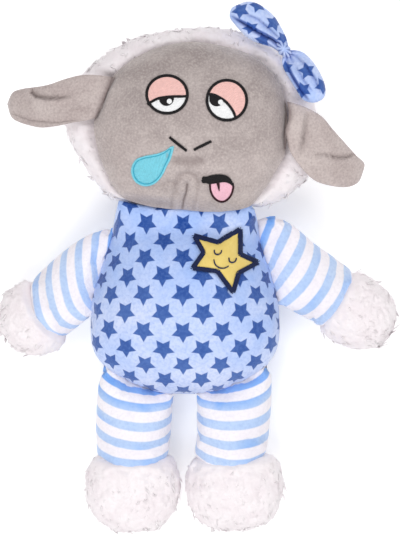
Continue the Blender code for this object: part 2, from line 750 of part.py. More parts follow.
def bow_seat():
    """Middle of the bow's tie, seated on the lip of the hood."""
    angle = math.radians(BOW_SEAT_ANGLE)
    climb = BOW_SEAT_SHARE * math.pi / 2
    seat = hood_lip(angle, climb)
    slope = hood_lip(angle, climb + LOOK_SHARE) - hood_lip(angle, climb - LOOK_SHARE)
    outward = HEAD_WORLD.to_3x3() @ Vector((math.cos(angle), math.sin(angle), 0))
    normal = (outward - slope * outward.dot(slope) / slope.length_squared).normalized()
    return seat + normal * (BOW_TIE_HALF_SIZE[2] + GAP)


def build_loop(side, middle, aim_angle, length, half_width, parent):
    """One puffed loop of the bow, pinched beside the tie, on a hinge there."""
    out = Vector((*aim(aim_angle), 0))
    lateral = Vector((*across(out), 0))
    roll = BOW_NECK_THICKNESS / 2
    root = middle + out * (BOW_TIE_HALF_SIZE[0] + GAP + roll)
    joint = hinge(f"bow_{side}_axis", root, lift_axis(out), parent)
    stations = [(-roll * math.cos(turn), BOW_NECK_HALF_WIDTH, roll * math.sin(turn)) for turn in ROLL_TURNS]
    for share in BOW_SHARES:
        beyond = max(share - BOW_FULL_SHARE, 0) / (1 - BOW_FULL_SHARE)
        taper = (1 - beyond ** FOOT_SQUARE_SHARE) ** (1 / FOOT_SQUARE_SHARE)
        grown = ease_in(share / BOW_FULL_SHARE)
        wide = blend(BOW_NECK_HALF_WIDTH, half_width, grown) * taper
        stations.append((share * length, wide, blend(roll, BOW_THICKNESS / 2, grown) * taper))
    rings = []
    for along, wide, high in stations:
        rise = Vector((0, 0, BOW_RISE * max(along, 0) / length))
        ring = []
        for step in range(BOW_STEPS):
            cosine, sine = superellipse(step / BOW_STEPS * TURN, HAND_SQUARE_SHARE)
            ring.append(root + out * along + rise + lateral * wide * cosine + Vector((0, 0, high * sine)))
        rings.append(ring)
    loft(f"bow_{side}_loop", STAR_PRINT, rings, joint)


def build_body():
    """The two body panels, their filling, and the star on the belly."""
    shell(
        "torso_front", STAR_PRINT, lambda unit, inset: torso_point(unit, inset, 1),
        FABRIC_WALL, lambda height: height > -TOUCH_SHARE, TORSO_STEPS,
    )
    shell(
        "torso_back", STAR_PRINT, lambda unit, inset: torso_point(unit, inset, -1),
        FABRIC_WALL, lambda height: height < TOUCH_SHARE, TORSO_STEPS,
    )
    filling("torso_stuffing", torso_filling_point, FABRIC_WALL + GAP, TORSO_STEPS)

    def over(x, y):
        return on_torso(x, y, STAR_LIFT)
    applique("star_patch", STAR_FABRIC, star_fabric, over, None, 0, STAR_RINGS, STAR_STEPS)
    applique("star_border", BORDER_THREAD, star, over, None, STAR_INNER_SHARE, 2, STAR_STEPS)


def build_face(parent):
    """The embroidered eyes, nose, drop, tongue and mouth."""
    def over(x, y):
        return on_face(x, y, GAP)

    def second_layer(x, y):
        return on_face(x, y, GAP + PATCH_WALL + GAP)
    for side, place in (("left", EYE_LEFT_PLACE), ("right", EYE_RIGHT_PLACE)):
        rim = oval(place, EYE_HALF_WIDTH, EYE_HALF_HEIGHT)
        applique(f"eye_{side}", EYE_THREAD, rim, over, parent)
    for side, ends in (("left", NOSE_LEFT_ENDS), ("right", NOSE_RIGHT_ENDS)):
        applique(f"nose_{side}", THREAD, bar(ends, NOSE_HALF_WIDTH), over, parent)
    applique("drop_patch", DROP_THREAD, freeform(DROP_PLACE, DROP_SHARES, DROP_SIZE), over, parent)
    rim = oval(TONGUE_PLACE, TONGUE_HALF_WIDTH, TONGUE_HALF_HEIGHT)
    applique("tongue", TONGUE_THREAD, rim, over, parent)
    rim = bar(MOUTH_ENDS, MOUTH_HALF_WIDTH, MOUTH_ARCH)
    applique("mouth", THREAD, rim, second_layer, parent)


def build_head():
    """The head on its neck hinge, with the face, the ears and the bow."""
    place = (HEAD_SHIFT, NECK_HEIGHT, TORSO_SEAM_HEIGHT)
    neck = hinge("neck_axis", place, lift_axis(Vector((0, 1))))
    shell(
        "head_back", SHERPA, hood_point, SHERPA_WALL,
        lambda height: height < math.sin(LIP_LATITUDE) + TOUCH_SHARE, HEAD_STEPS, neck,
    )
    shell(
        "face_panel", VELBOA, face_point, FABRIC_WALL,
        lambda height: height > -TOUCH_SHARE, TORSO_STEPS, neck,
    )
    filling("head_stuffing", head_filling_point, SHERPA_WALL + GAP, HEAD_STEPS, neck)
    build_face(neck)
    build_ear("left", Ear(EAR_LEFT_SEAT_ANGLE, EAR_LEFT_AIM_ANGLE, EAR_LEFT_LENGTH), neck)
    build_ear("right", Ear(EAR_RIGHT_SEAT_ANGLE, EAR_RIGHT_AIM_ANGLE, EAR_RIGHT_LENGTH), neck)
    middle = bow_seat()
    mesh = bmesh.new()
    bmesh.ops.create_uvsphere(mesh, u_segments=BOW_STEPS, v_segments=BOW_STEPS // 2, radius=1)
    across_bow = Matrix.Rotation(math.radians(BOW_LEFT_AIM_ANGLE), 4, "Z")
    bmesh.ops.transform(
        mesh, verts=mesh.verts,
        matrix=Matrix.Translation(middle) @ across_bow @ Matrix.Diagonal((*BOW_TIE_HALF_SIZE, 1)),
    )
    body_object("bow_tie", mesh, STAR_PRINT, neck)
    build_loop("left", middle, BOW_LEFT_AIM_ANGLE, BOW_LEFT_LENGTH, BOW_LEFT_HALF_WIDTH, neck)
    build_loop("right", middle, BOW_RIGHT_AIM_ANGLE, BOW_RIGHT_LENGTH, BOW_RIGHT_HALF_WIDTH, neck)


def build_limbs():
    """Both arms and both legs."""
    foot = (FOOT_LENGTH, FOOT_WIDTH, FOOT_THICKNESS)
    left_hand = (HAND_LEFT_LENGTH, HAND_WIDTH, HAND_THICKNESS)
    right_hand = (HAND_RIGHT_LENGTH, HAND_WIDTH, HAND_THICKNESS)
    build_limb("arm", "hand", "left", Limb(
        ARM_LEFT_SEAM, ARM_LEFT_REACH, (ARM_LEFT_AIM_ANGLE, HAND_LEFT_AIM_ANGLE),
        ARM_THICKNESS, ARM_CUFF_WIDTH, ARM_BULGE, left_hand, HAND_SQUARE_SHARE,
    ))
    build_limb("arm", "hand", "right", Limb(
        ARM_RIGHT_SEAM, ARM_RIGHT_REACH, (ARM_RIGHT_AIM_ANGLE, HAND_RIGHT_AIM_ANGLE),
        ARM_THICKNESS, ARM_CUFF_WIDTH, ARM_BULGE, right_hand, HAND_SQUARE_SHARE,
    ))
    build_limb("leg", "foot", "left", Limb(
        LEG_LEFT_SEAM, LEG_LEFT_REACH, (LEG_LEFT_AIM_ANGLE, FOOT_LEFT_AIM_ANGLE),
        LEG_THICKNESS, LEG_CUFF_WIDTH, LEG_BULGE, foot, FOOT_SQUARE_SHARE,
    ))
    build_limb("leg", "foot", "right", Limb(
        LEG_RIGHT_SEAM, LEG_RIGHT_REACH, (LEG_RIGHT_AIM_ANGLE, FOOT_RIGHT_AIM_ANGLE),
        LEG_THICKNESS, LEG_CUFF_WIDTH, LEG_BULGE, foot, FOOT_SQUARE_SHARE,
    ))


build_body()
build_head()
build_limbs()
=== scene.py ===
"""The plush sheep as it is sewn and stuffed: body, limbs, hood, face, ears and bow, lying on its back."""
import json
from math import atan2, copysign, cos, exp, hypot, pi, radians, sin, tau

import bmesh
import bpy
import numpy as np
from mathutils import Matrix, Vector
from mathutils.bvhtree import BVHTree


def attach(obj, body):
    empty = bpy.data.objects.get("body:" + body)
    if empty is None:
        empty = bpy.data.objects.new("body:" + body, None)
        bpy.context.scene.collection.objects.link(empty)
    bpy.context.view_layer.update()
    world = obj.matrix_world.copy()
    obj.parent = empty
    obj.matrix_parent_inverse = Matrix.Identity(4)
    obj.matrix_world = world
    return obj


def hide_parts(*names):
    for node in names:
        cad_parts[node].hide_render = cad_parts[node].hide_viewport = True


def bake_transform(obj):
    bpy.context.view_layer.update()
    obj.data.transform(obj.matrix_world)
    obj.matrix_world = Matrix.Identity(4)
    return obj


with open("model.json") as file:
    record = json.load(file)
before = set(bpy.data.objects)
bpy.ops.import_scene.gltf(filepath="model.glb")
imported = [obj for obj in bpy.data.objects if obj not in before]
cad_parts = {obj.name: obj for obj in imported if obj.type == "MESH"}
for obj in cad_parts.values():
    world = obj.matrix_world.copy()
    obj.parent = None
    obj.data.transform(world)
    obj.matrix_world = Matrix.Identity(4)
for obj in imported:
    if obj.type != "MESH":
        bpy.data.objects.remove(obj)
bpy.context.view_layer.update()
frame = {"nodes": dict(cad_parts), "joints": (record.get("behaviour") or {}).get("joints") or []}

# Studio: the toy lies on a white table under soft light and is seen from straight above.
# The table is nearly white by itself and keeps the toy's shadow.
PIXEL = 0.0006
PICTURE = (400, 538)
ORIGIN = (185, 300)
MIDDLE = Vector(((PICTURE[0] / 2 - ORIGIN[0]) * PIXEL, (ORIGIN[1] - PICTURE[1] / 2) * PIXEL, 0.03))
CAMERA_HEIGHT = 2.2
SENSOR = 36
AMBIENT = 0.41
UP = Vector((0, 0, 1))


def placed(name, data):
    """An object of these data, added to the scene."""
    made = bpy.data.objects.new(name, data)
    bpy.context.scene.collection.objects.link(made)
    return made


camera = placed("camera", bpy.data.cameras.new("camera"))
camera.data.sensor_width = SENSOR
camera.data.lens = SENSOR * CAMERA_HEIGHT / (PICTURE[1] * PIXEL)
camera.location = MIDDLE + UP * CAMERA_HEIGHT
bpy.context.scene.camera = camera
bpy.context.scene.view_settings.view_transform = "Standard"

sky = bpy.data.worlds.new("studio")
bpy.context.scene.world = sky
sky.use_nodes = True
ambient = sky.node_tree.nodes["Background"]
ambient.inputs["Color"].default_value = (1, 1, 1, 1)
rays = sky.node_tree.nodes.new("ShaderNodeLightPath")
level = sky.node_tree.nodes.new("ShaderNodeMapRange")
level.inputs["To Min"].default_value = AMBIENT
sky.node_tree.links.new(rays.outputs["Is Camera Ray"], level.inputs["Value"])
sky.node_tree.links.new(level.outputs["Result"], ambient.inputs["Strength"])


def softbox(name, place, size, watts):
    """A square lamp aimed at the middle of the toy."""
    lamp = placed(name, bpy.data.lights.new(name, "AREA"))
    lamp.data.size = size
    lamp.data.energy = watts
    lamp.location = place
    lamp.rotation_euler = (Vector((0, 0.03, 0)) - Vector(place)).to_track_quat("-Z", "Y").to_euler()


softbox("key", (-0.25, -0.75, 0.95), 0.7, 6.8)
softbox("fill", (0.8, 0.3, 0.9), 0.9, 4.0)
softbox("top", (-0.3, 0.6, 1.2), 0.8, 5.0)


class Link:
    """One output of a shader node. Python's operators on it add Math nodes."""

    def __init__(self, cloth, socket):
        self.cloth, self.socket = cloth, socket

    def __add__(self, other):
        return self.cloth.maths("ADD", self, other)

    def __sub__(self, other):
        return self.cloth.maths("SUBTRACT", self, other)

    def __rsub__(self, other):
        return self.cloth.maths("SUBTRACT", other, self)

    def __mul__(self, other):
        return self.cloth.maths("MULTIPLY", self, other)

    def __truediv__(self, other):
        return self.cloth.maths("DIVIDE", self, other)

    __radd__, __rmul__ = __add__, __mul__


class Cloth:
    """A material built of nodes. Colours are given as they look on a screen."""

    def __init__(self, name, roughness=0.9, sheen=0.0):
        self.material = bpy.data.materials.new(name)
        self.material.use_nodes = True
        self.tree = self.material.node_tree
        self.shader = self.tree.nodes["Principled BSDF"]
        for socket, value in (("Roughness", roughness), ("Sheen Weight", sheen), ("Sheen Roughness", 0.4),
                              ("Specular IOR Level", 0.2)):
            self.shader.inputs[socket].default_value = value

    def put(self, socket, value):
        if isinstance(value, Link):
            self.tree.links.new(value.socket, socket)
        else:
            socket.default_value = value

    def node(self, kind, settings=None, *values, output=0, **named):
        """A shader node: its settings, then the values or links of its sockets."""
        made = self.tree.nodes.new("ShaderNode" + kind)
        for key, value in (settings or {}).items():
            if key == "stops":
                while len(made.color_ramp.elements) < len(value):
                    made.color_ramp.elements.new(1)
                for stop, (place, grey) in zip(made.color_ramp.elements, value):
                    stop.position, stop.color = place, (grey, grey, grey, 1)
            else:
                setattr(made, key, value)
        for index, value in enumerate(values):
            self.put(made.inputs[index], value)
        for key, value in named.items():
            self.put(made.inputs[key.replace("_", " ")], value)
        return Link(self, made.outputs[output])

    def maths(self, operation, *values, clamp=False):
        """A Math node."""
        return self.node("Math", {"operation": operation, "use_clamp": clamp}, *values)

    def place(self):
        """Object coordinates, in metres."""
        return self.node("TexCoord", output="Object")

    def axis(self, place, axis):
        """One coordinate of a place."""
        return self.node("SeparateXYZ", None, place, output=axis)

    def printed(self):
        """The piece's own flat map, in metres."""
        return self.node("UVMap", {"uv_map": "print"})

    def kept(self, name):
        """The number that each point of the piece keeps under a name."""
        return self.node("Attribute", {"attribute_name": name}, output="Fac")

    def noise(self, size, detail=2.0, rough=0.5):
        """Noise from 0 to 1 whose lumps are about that many metres across."""
        return self.node("TexNoise", output="Fac", Vector=self.place(), Scale=0.7 / size, Detail=detail,
                         Roughness=rough)

    def mix(self, share, low, high):
        """A colour between two."""
        made = self.node("Mix", {"data_type": "RGBA"}, output=2)
        for index, value in ((0, share), (6, low), (7, high)):
            self.put(made.socket.node.inputs[index], value)
        return made

    def ramp(self, value, *stops):
        """A number passed through grey stops."""
        return self.node("ValToRGB", {"stops": stops}, value)

    def colour(self, value):
        self.put(self.shader.inputs["Base Color"], value)

    def bump(self, height, depth, strength=1.0):
        """Small relief, its depth in metres."""
        made = self.node("Bump", None, Height=height, Distance=depth, Strength=strength, output="Normal")
        self.put(self.shader.inputs["Normal"], made)


def screen(red, green, blue):
    """A colour as it looks on a screen, in the linear values that a shader takes."""
    return (*(((c + 0.055) / 1.055) ** 2.4 for c in (red, green, blue)), 1)


table = Cloth("white_table", 0.9)
table.colour(table.mix(table.noise(0.2), screen(0.975, 0.975, 0.975), screen(0.985, 0.985, 0.985)))
table.shader.inputs["Emission Color"].default_value = (1, 1, 1, 1)
table.shader.inputs["Emission Strength"].default_value = 0.25
table_top = placed("table", bpy.data.meshes.new("table"))
table_top.data.from_pydata([(-3, -3, 0), (3, -3, 0), (3, 3, 0), (-3, 3, 0)], [], [(0, 1, 2, 3)])
table_top.data.materials.append(table.material)
table_top.location.z = -0.001


# Body: two panels of short-pile minky, sewn together round the edge and filled with fibre.
# The print is rows of navy stars that point to the feet, every second row half a step along.
STAR_RADIUS = 0.0069
STAR_NOTCH = 0.53
STAR_PITCH = 0.0234
STAR_ROW = 0.0109
STAR_START = (-0.0012, 0.0065)
PRINT_EDGE = 0.0005
PRINT_WOBBLE = 0.0012
BODY_MIDDLE = Vector((0, -0.002, 0.03))


def skin_of(*nodes):
    """A search tree over the outer skin of these solids, rounded by subdivision."""
    holder_mesh = bmesh.new()
    for name in nodes:
        holder_mesh.from_mesh(frame["nodes"][name].data)
    bmesh.ops.remove_doubles(holder_mesh, verts=holder_mesh.verts, dist=1e-5)
    bmesh.ops.join_triangles(holder_mesh, faces=holder_mesh.faces, angle_face_threshold=0.7,
                             angle_shape_threshold=1.2)
    data = bpy.data.meshes.new("skin")
    holder_mesh.to_mesh(data)
    holder_mesh.free()
    holder = placed("skin", data)
    rounder = holder.modifiers.new("round", "SUBSURF")
    rounder.levels = rounder.render_levels = 2
    tree = BVHTree.FromObject(holder, bpy.context.evaluated_depsgraph_get())
    bpy.data.objects.remove(holder)
    return tree


def outermost(tree, middle, direction):
    """Where the skin is first met from outside, looking at the middle."""
    hit = tree.ray_cast(middle + direction * 0.4, -direction)[0]
    return hit if hit is not None else middle.copy()


def grid_piece(name, rows):
    """A closed skin over rings of points; a first or last row of one point is a pole."""
    mesh = bmesh.new()
    skin = [[mesh.verts.new(spot) for spot in row] for row in rows]
    for near, far in zip(skin, skin[1:]):
        count = max(len(near), len(far))
        for index in range(count):
            after = (index + 1) % count
            if len(near) == 1:
                mesh.faces.new((near[0], far[after], far[index]))
            elif len(far) == 1:
                mesh.faces.new((near[index], near[after], far[0]))
            else:
                mesh.faces.new((near[index], near[after], far[after], far[index]))
    for row in (skin[0], skin[-1]):
        count = len(row)
        for index in range(count // 2):
            corners = [row[index], row[index + 1], row[-index - 1], row[-index % count]]
            mesh.faces.new(list(dict.fromkeys(corners)))
    bmesh.ops.recalc_face_normals(mesh, faces=mesh.faces)
    data = bpy.data.meshes.new(name)
    mesh.to_mesh(data)
    mesh.free()
    data.shade_smooth()
    return placed(name, data)


def spots_of(piece):
    """The piece's points, as an array."""
    spots = np.zeros(len(piece.data.vertices) * 3)
    piece.data.vertices.foreach_get("co", spots)
    return spots.reshape(-1, 3)


def puff(piece, pinned, cap, pressure, growth, bend=0.5, frames=20):
    """Fill a piece of cloth: its seams stay, the rest swells and wrinkles by up to the cap."""
    seam = piece.vertex_groups.new(name="seam")
    seam.add([int(index) for index in pinned], 1, "REPLACE")
    before = spots_of(piece)
    cloth = piece.modifiers.new("filled", "CLOTH")
    cloth.settings.vertex_group_mass = "seam"
    cloth.settings.pin_stiffness = 50
    cloth.settings.use_pressure = True
    cloth.settings.uniform_pressure_force = pressure
    cloth.settings.shrink_min = -growth
    cloth.settings.tension_stiffness = cloth.settings.compression_stiffness = 40
    cloth.settings.bending_stiffness = bend
    cloth.settings.effector_weights.gravity = 0
    cloth.collision_settings.use_collision = False
    cloth.point_cache.frame_end = frames
    for step in range(frames):
        bpy.context.scene.frame_set(step + 1)
    shown = piece.evaluated_get(bpy.context.evaluated_depsgraph_get())
    moved = spots_of(shown) - before
    reach = np.linalg.norm(moved, axis=1, keepdims=True)
    moved *= np.minimum(1, cap / np.maximum(reach, 1e-9))
    piece.modifiers.remove(cloth)
    piece.vertex_groups.clear()
    piece.data.vertices.foreach_set("co", (before + moved).ravel())
    piece.data.update()


def ball_rows(tree, middle, flat, rows, columns):
    """Rings of points from below to above, where a form is met on all sides of its middle."""
    made = []
    for row in range(-rows, rows + 1):
        rise = row / rows * pi / 2
        if abs(row) == rows:
            made.append([outermost(tree, middle, UP * copysign(1, row))])
            continue
        ring = []
        for column in range(columns):
            turn = column / columns * tau
            way = Vector((cos(rise) * cos(turn), cos(rise) * sin(turn), sin(rise) * flat))
            ring.append(outermost(tree, middle, way.normalized()))
        made.append(ring)
    return made


BODY_ROWS, BODY_COLUMNS = 26, 128
body_rows = ball_rows(skin_of("torso_front", "torso_back", "torso_stuffing"), BODY_MIDDLE, 0.7,
                      BODY_ROWS, BODY_COLUMNS)
# The two panels meet in one level seam.
for column in range(BODY_COLUMNS):
    seam = (body_rows[BODY_ROWS - 1][column] + body_rows[BODY_ROWS + 1][column]) / 2
    body_rows[BODY_ROWS][column] = Vector((seam.x, seam.y, BODY_MIDDLE.z))
NECK_MIDDLE, NECK_HALF, NECK_TOP = 0.0006, 0.0386, 0.0500
head_skin = skin_of("head_back", "face_panel")


def eased(value, start, end):
    """A smooth change from 0 to 1."""
    share = min(max((value - start) / (end - start), 0), 1)
    return share * share * (3 - 2 * share)


# The front panel runs squarely up to the hood, and rises there to the height of the neck.
shoulders = sorted((spot.x, spot.y) for spot in body_rows[BODY_ROWS] if spot.y > 0.03)
for row in body_rows[BODY_ROWS + 1:]:
    for spot in row:
        across = 1 - eased(abs(spot.x - NECK_MIDDLE), NECK_HALF, NECK_HALF + 0.005)
        hit = head_skin.ray_cast(Vector((spot.x, 0, 0.046)), Vector((0, 1, 0)))[0]
        if across > 0 and spot.y > 0.022 and hit is not None:
            crest = np.interp(spot.x, *zip(*shoulders))
            spot.z += max(NECK_TOP - spot.z, 0) * across * eased(spot.y, 0.028, crest - 0.001)
            spot.y += (hit.y - 0.0002 - crest) * across * eased(spot.y, crest - 0.018, crest - 0.0005)
body = grid_piece("body_plush", body_rows)


def print_map(piece, rows):
    """A flat map in metres over each half of a stuffed form, measured along the cloth from its crown."""
    reach = {}
    starts = np.cumsum([0, *(len(row) for row in rows)])
    columns = max(len(row) for row in rows)
    half = len(rows) // 2
    for side, order in ((1, range(len(rows) - 1, half - 1, -1)), (-1, range(0, half + 1))):
        along = np.zeros(columns)
        before = None
        for row in order:
            spots = np.array([list(spot) for spot in rows[row]])
            if len(spots) == 1:
                spots = np.repeat(spots, columns, axis=0)
            if before is not None:
                along = along + np.linalg.norm(spots - before, axis=1)
            before = spots
            for column in range(len(rows[row])):
                turn = column / columns * tau
                reach[side, starts[row] + column] = (along[column] * cos(turn), along[column] * sin(turn))
    layer = piece.data.uv_layers.new(name="print")
    for face in piece.data.polygons:
        side = 1 if max(face.vertices) >= starts[half] + columns else -1
        for loop in face.loop_indices:
            layer.data[loop].uv = reach[side, piece.data.loops[loop].vertex_index]


print_map(body, body_rows)
seam_start = 1 + (BODY_ROWS - 1) * BODY_COLUMNS
seam_ring = range(seam_start, seam_start + BODY_COLUMNS)
resting = [index for index, spot in enumerate(spots_of(body)) if spot[2] < 0.0012]
puff(body, [*seam_ring, *resting], cap=0.003, pressure=400, growth=0.03)


def star_fabric(name, stars=None, crush=0.026):
    """Blue minky with the star print, over the piece's own map. A few stars may be given one by one. It is
    painted darker towards the neck on the body and in any piece's creases: painted shade.
    """
    cloth = Cloth(name, 0.85, sheen=0.5)
    where = cloth.printed()
    wobble = cloth.node("TexNoise", None, output="Color", Vector=where, Scale=60.0, Detail=1.0)
    bent = cloth.node("VectorMath", {"operation": "MULTIPLY_ADD"}, wobble,
                      (PRINT_WOBBLE, PRINT_WOBBLE, 0), where)
    across = cloth.axis(bent, "X") - PRINT_WOBBLE / 2
    along = cloth.axis(bent, "Y") - PRINT_WOBBLE / 2

    def star(u, v, radius=STAR_RADIUS, turned=0.0):
        """How far inside a star that points to the feet, from 0 to 1 over its printed edge."""
        turn = cloth.maths("ARCTAN2", u, v * -1) + radians(turned)
        folded = cloth.maths("PINGPONG", turn, pi / 5)
        reach = cloth.maths("SQRT", u * u + v * v)
        x = reach * cloth.maths("COSINE", folded)
        y = reach * cloth.maths("SINE", folded)
        notch = radius * STAR_NOTCH
        edge = Vector((notch * cos(pi / 5) - radius, notch * sin(pi / 5))).normalized()
        outside = (x - radius) * edge.y - y * edge.x
        return cloth.maths("MULTIPLY_ADD", outside, -1 / PRINT_EDGE, 0.5, clamp=True)

    def lattice(sideways, down):
        """Stars on every second row."""
        return star(cloth.maths("WRAP", across - sideways, STAR_PITCH / 2, -STAR_PITCH / 2),
                    cloth.maths("WRAP", along - down, STAR_ROW, -STAR_ROW))

    if stars is None:
        printed = [lattice(*STAR_START), lattice(STAR_START[0] + STAR_PITCH / 2, STAR_START[1] + STAR_ROW)]
    else:
        printed = [star(across - x * PIXEL, (along + y * PIXEL) * (1 / tall), size * PIXEL, turned)
                   for x, y, size, turned, tall in stars]
    mask = printed[0]
    for one in printed[1:]:
        mask = cloth.maths("MAXIMUM", mask, one)
    # Painted shade: on the body the blue ground and the navy stars darken towards the neck, as if lit from
    # the feet's side.
    shade_towards_neck = cloth.axis(cloth.place(), "Y") * 3.0 if stars is None else 0.0
    nap = cloth.ramp(cloth.noise(crush, 3, 0.6) - shade_towards_neck, (0.30, 0), (0.68, 1))
    pile = cloth.noise(0.0013, 2)
    ground = cloth.mix(nap, screen(0.66, 0.765, 0.97), screen(0.83, 0.87, 0.985))
    ground = cloth.mix(cloth.ramp(pile, (0.42, 0), (0.75, 0.45)), ground, screen(0.56, 0.67, 0.90))
    navy = cloth.mix(nap, screen(0.12, 0.28, 0.59), screen(0.29, 0.42, 0.69))
    navy = cloth.mix(cloth.ramp(pile, (0.42, 0), (0.75, 0.35)), navy, screen(0.40, 0.54, 0.80))
    # Painted shade: the cloth turns a darker blue in the creases that a piece keeps.
    crease = cloth.maths("MINIMUM", cloth.kept("crease"), 0.85)
    cloth.colour(cloth.mix(crease, cloth.mix(mask, ground, navy), screen(0.17, 0.32, 0.66)))
    cloth.bump(cloth.noise(0.0009, 3) + cloth.noise(0.0045, 2) * 0.8, 0.0009, 0.45)
    return cloth.material


STAR_CLOTH = star_fabric("star_print_minky")
body.data.materials.append(STAR_CLOTH)
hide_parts("torso_front", "torso_back", "torso_stuffing")
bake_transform(body)


# Sleeves and trouser legs: striped minky tubes, pinched flat into the body's side seam and
# filled with fibre. The stripes keep level with the cuff, so the seam cuts them off askew.
# A tube is at its fullest from this share of its length on.
SLEEVE_ROWS, SLEEVE_COLUMNS = 26, 56
SLEEVE_FULL = 0.72
seam_spots = spots_of(body)[list(seam_ring)]
seam_angles = np.arctan2(seam_spots[:, 1], seam_spots[:, 0])
seam_radii = np.hypot(seam_spots[:, 0], seam_spots[:, 1])
# How far a tube is tucked into the seam, and how wide a stripe's soft edge is.
SEAM_TUCK, STRIPE_EDGE = 0.0008, 0.0007


def on_seam(degrees, away):
    """A point on the body's side seam, moved outwards."""
    angle = radians(degrees)
    radius = np.interp(angle, seam_angles, seam_radii, period=tau) + away
    return Vector((radius * cos(angle), radius * sin(angle), BODY_MIDDLE.z))


def striped_fabric(name, pitch, start, stroked):
    """White minky with soft-edged blue stripes, over the piece's own map. Past a length from the cuff, near
    the body's seam, the blue is painted darker: painted shade under the body's edge, with some darker stroke
    of the pile.
    """
    cloth = Cloth(name, 0.85, sheen=0.5)
    along = cloth.axis(cloth.printed(), "Y")
    wave = cloth.noise(0.012, 1)
    turn = (along + wave * 0.0012 - start) / pitch
    stripe = cloth.maths("MULTIPLY_ADD", cloth.maths("PINGPONG", turn, 0.5) - 0.23, -pitch / STRIPE_EDGE, 0.5,
                         clamp=True)
    nap = cloth.ramp(cloth.noise(0.02, 3), (0.3, 0), (0.7, 1))
    pile = cloth.ramp(cloth.noise(0.0013, 2), (0.42, 0), (0.75, 0.5))
    blue = cloth.mix(pile, cloth.mix(nap, screen(0.69, 0.795, 0.955), screen(0.79, 0.86, 0.97)),
                     screen(0.63, 0.73, 0.90))
    patches = cloth.ramp(cloth.noise(0.016, 2), (0.54, 0), (0.68, 0.5))
    # Painted shade: the blue darkens past that length, under the body's edge, together with a darker stroke
    # of the pile.
    shade_near_seam = cloth.node("MapRange", None, along + wave * 0.006, stroked, stroked + 0.007, 0.0, 0.85)
    blue = cloth.mix(patches + shade_near_seam, blue, screen(0.50, 0.69, 0.95))
    white = cloth.mix(pile, cloth.mix(nap, screen(0.95, 0.93, 0.96), screen(0.98, 0.965, 0.985)),
                      screen(0.90, 0.88, 0.92))
    cloth.colour(cloth.mix(stripe, white, blue))
    cloth.bump(cloth.noise(0.0009, 3) + cloth.noise(0.0045, 2) * 0.8, 0.0009, 0.45)
    return cloth.material


def mapped(piece, flat):
    """Give a piece its flat map, one place in metres for each point."""
    layer = piece.data.uv_layers.new(name="print")
    for loop in piece.data.loops:
        layer.data[loop.index].uv = flat[loop.vertex_index]


def sleeve(part, fabric, seam, wrist, aim, width, thickness, tip_height, bulge, shoulder, lean, slant, skews):
    """One striped tube from the side seam to its cuff. Its stripes slant by the skews at cuff and seam."""
    out = Vector((cos(radians(aim)), sin(radians(aim)), 0))
    side = Vector((-out.y, out.x, 0))
    wrist = Vector((*wrist, 0))
    if (on_seam(seam[0], 0) - wrist).dot(side) < 0:
        side = -side
    rows = []
    for row in range(SLEEVE_ROWS + 1):
        share = row / SLEEVE_ROWS
        full = SEAM_TUCK + (thickness / 2 - SEAM_TUCK) * sin(min(share / SLEEVE_FULL, 1) * pi / 2)
        height = BODY_MIDDLE.z + (tip_height / 2 - BODY_MIDDLE.z) * (3 - 2 * share) * share ** 2
        ring = []
        for column in range(SLEEVE_COLUMNS):
            turn = column / SLEEVE_COLUMNS * tau
            cosine, sine = cos(turn), sin(turn)
            portion = (1 - cosine) / 2
            sewn = on_seam(seam[0] + (seam[1] - seam[0]) * portion, -SEAM_TUCK)
            cut = wrist + side * width * (1 - 2 * portion) / 2
            raised = shoulder * eased(share, 0, 0.16) * (1 - eased(share, 0.18, 0.68))
            place = sewn.lerp(cut, share) + side * (1 - portion) * (bulge * 4 * share * (1 - share) + raised)
            place += out * lean * (1 + slant * (2 * portion - 1)) * share ** 2 * sine
            ring.append(Vector((place.x, place.y, height + full * copysign(abs(sine) ** 0.9, sine))))
        rows.append(ring)
    piece = grid_piece(part + "_cloth", rows)
    spots = np.array([[list(spot) for spot in ring] for ring in rows])
    steps = np.linalg.norm(spots[1:] - spots[:-1], axis=2)
    along = np.concatenate([np.zeros((1, SLEEVE_COLUMNS)), np.cumsum(steps[::-1], axis=0)])[::-1]
    across = (spots[:, :, :2] - np.array(wrist[:2])) @ np.array(side[:2])
    loose = (1 - np.linspace(0, 1, SLEEVE_ROWS + 1))[:, None]
    along = along + across * (skews[0] + (skews[1] - skews[0]) * loose)
    mapped(piece, np.stack([across.ravel(), along.ravel()], axis=1))
    count = along.size
    ends = [*range(SLEEVE_COLUMNS), *range(count - SLEEVE_COLUMNS, count)]
    puff(piece, ends, cap=0.003, pressure=200, growth=0.045)
    piece.data.materials.append(fabric)
    return piece, wrist, out


def hinge_of(part):
    """The joint on which a body turns, and the middle of its seam."""
    joint = next(joint for joint in frame["joints"] if joint["child"] == part)
    return joint, Vector(joint["pos_m"])


def hinged(piece, part, before, after):
    """Bake a piece's transform. The hinge's seam, the side the piece lies on and the points just before and
    after the seam are worked out, but nothing makes the piece bend.
    """
    joint, seam = hinge_of(part)
    away = Vector(joint["axis"]).cross(UP)
    away = away if away.dot(Vector(spots_of(piece).mean(axis=0)) - seam) > 0 else -away
    seam - away * before
    seam + away * after
    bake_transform(piece)


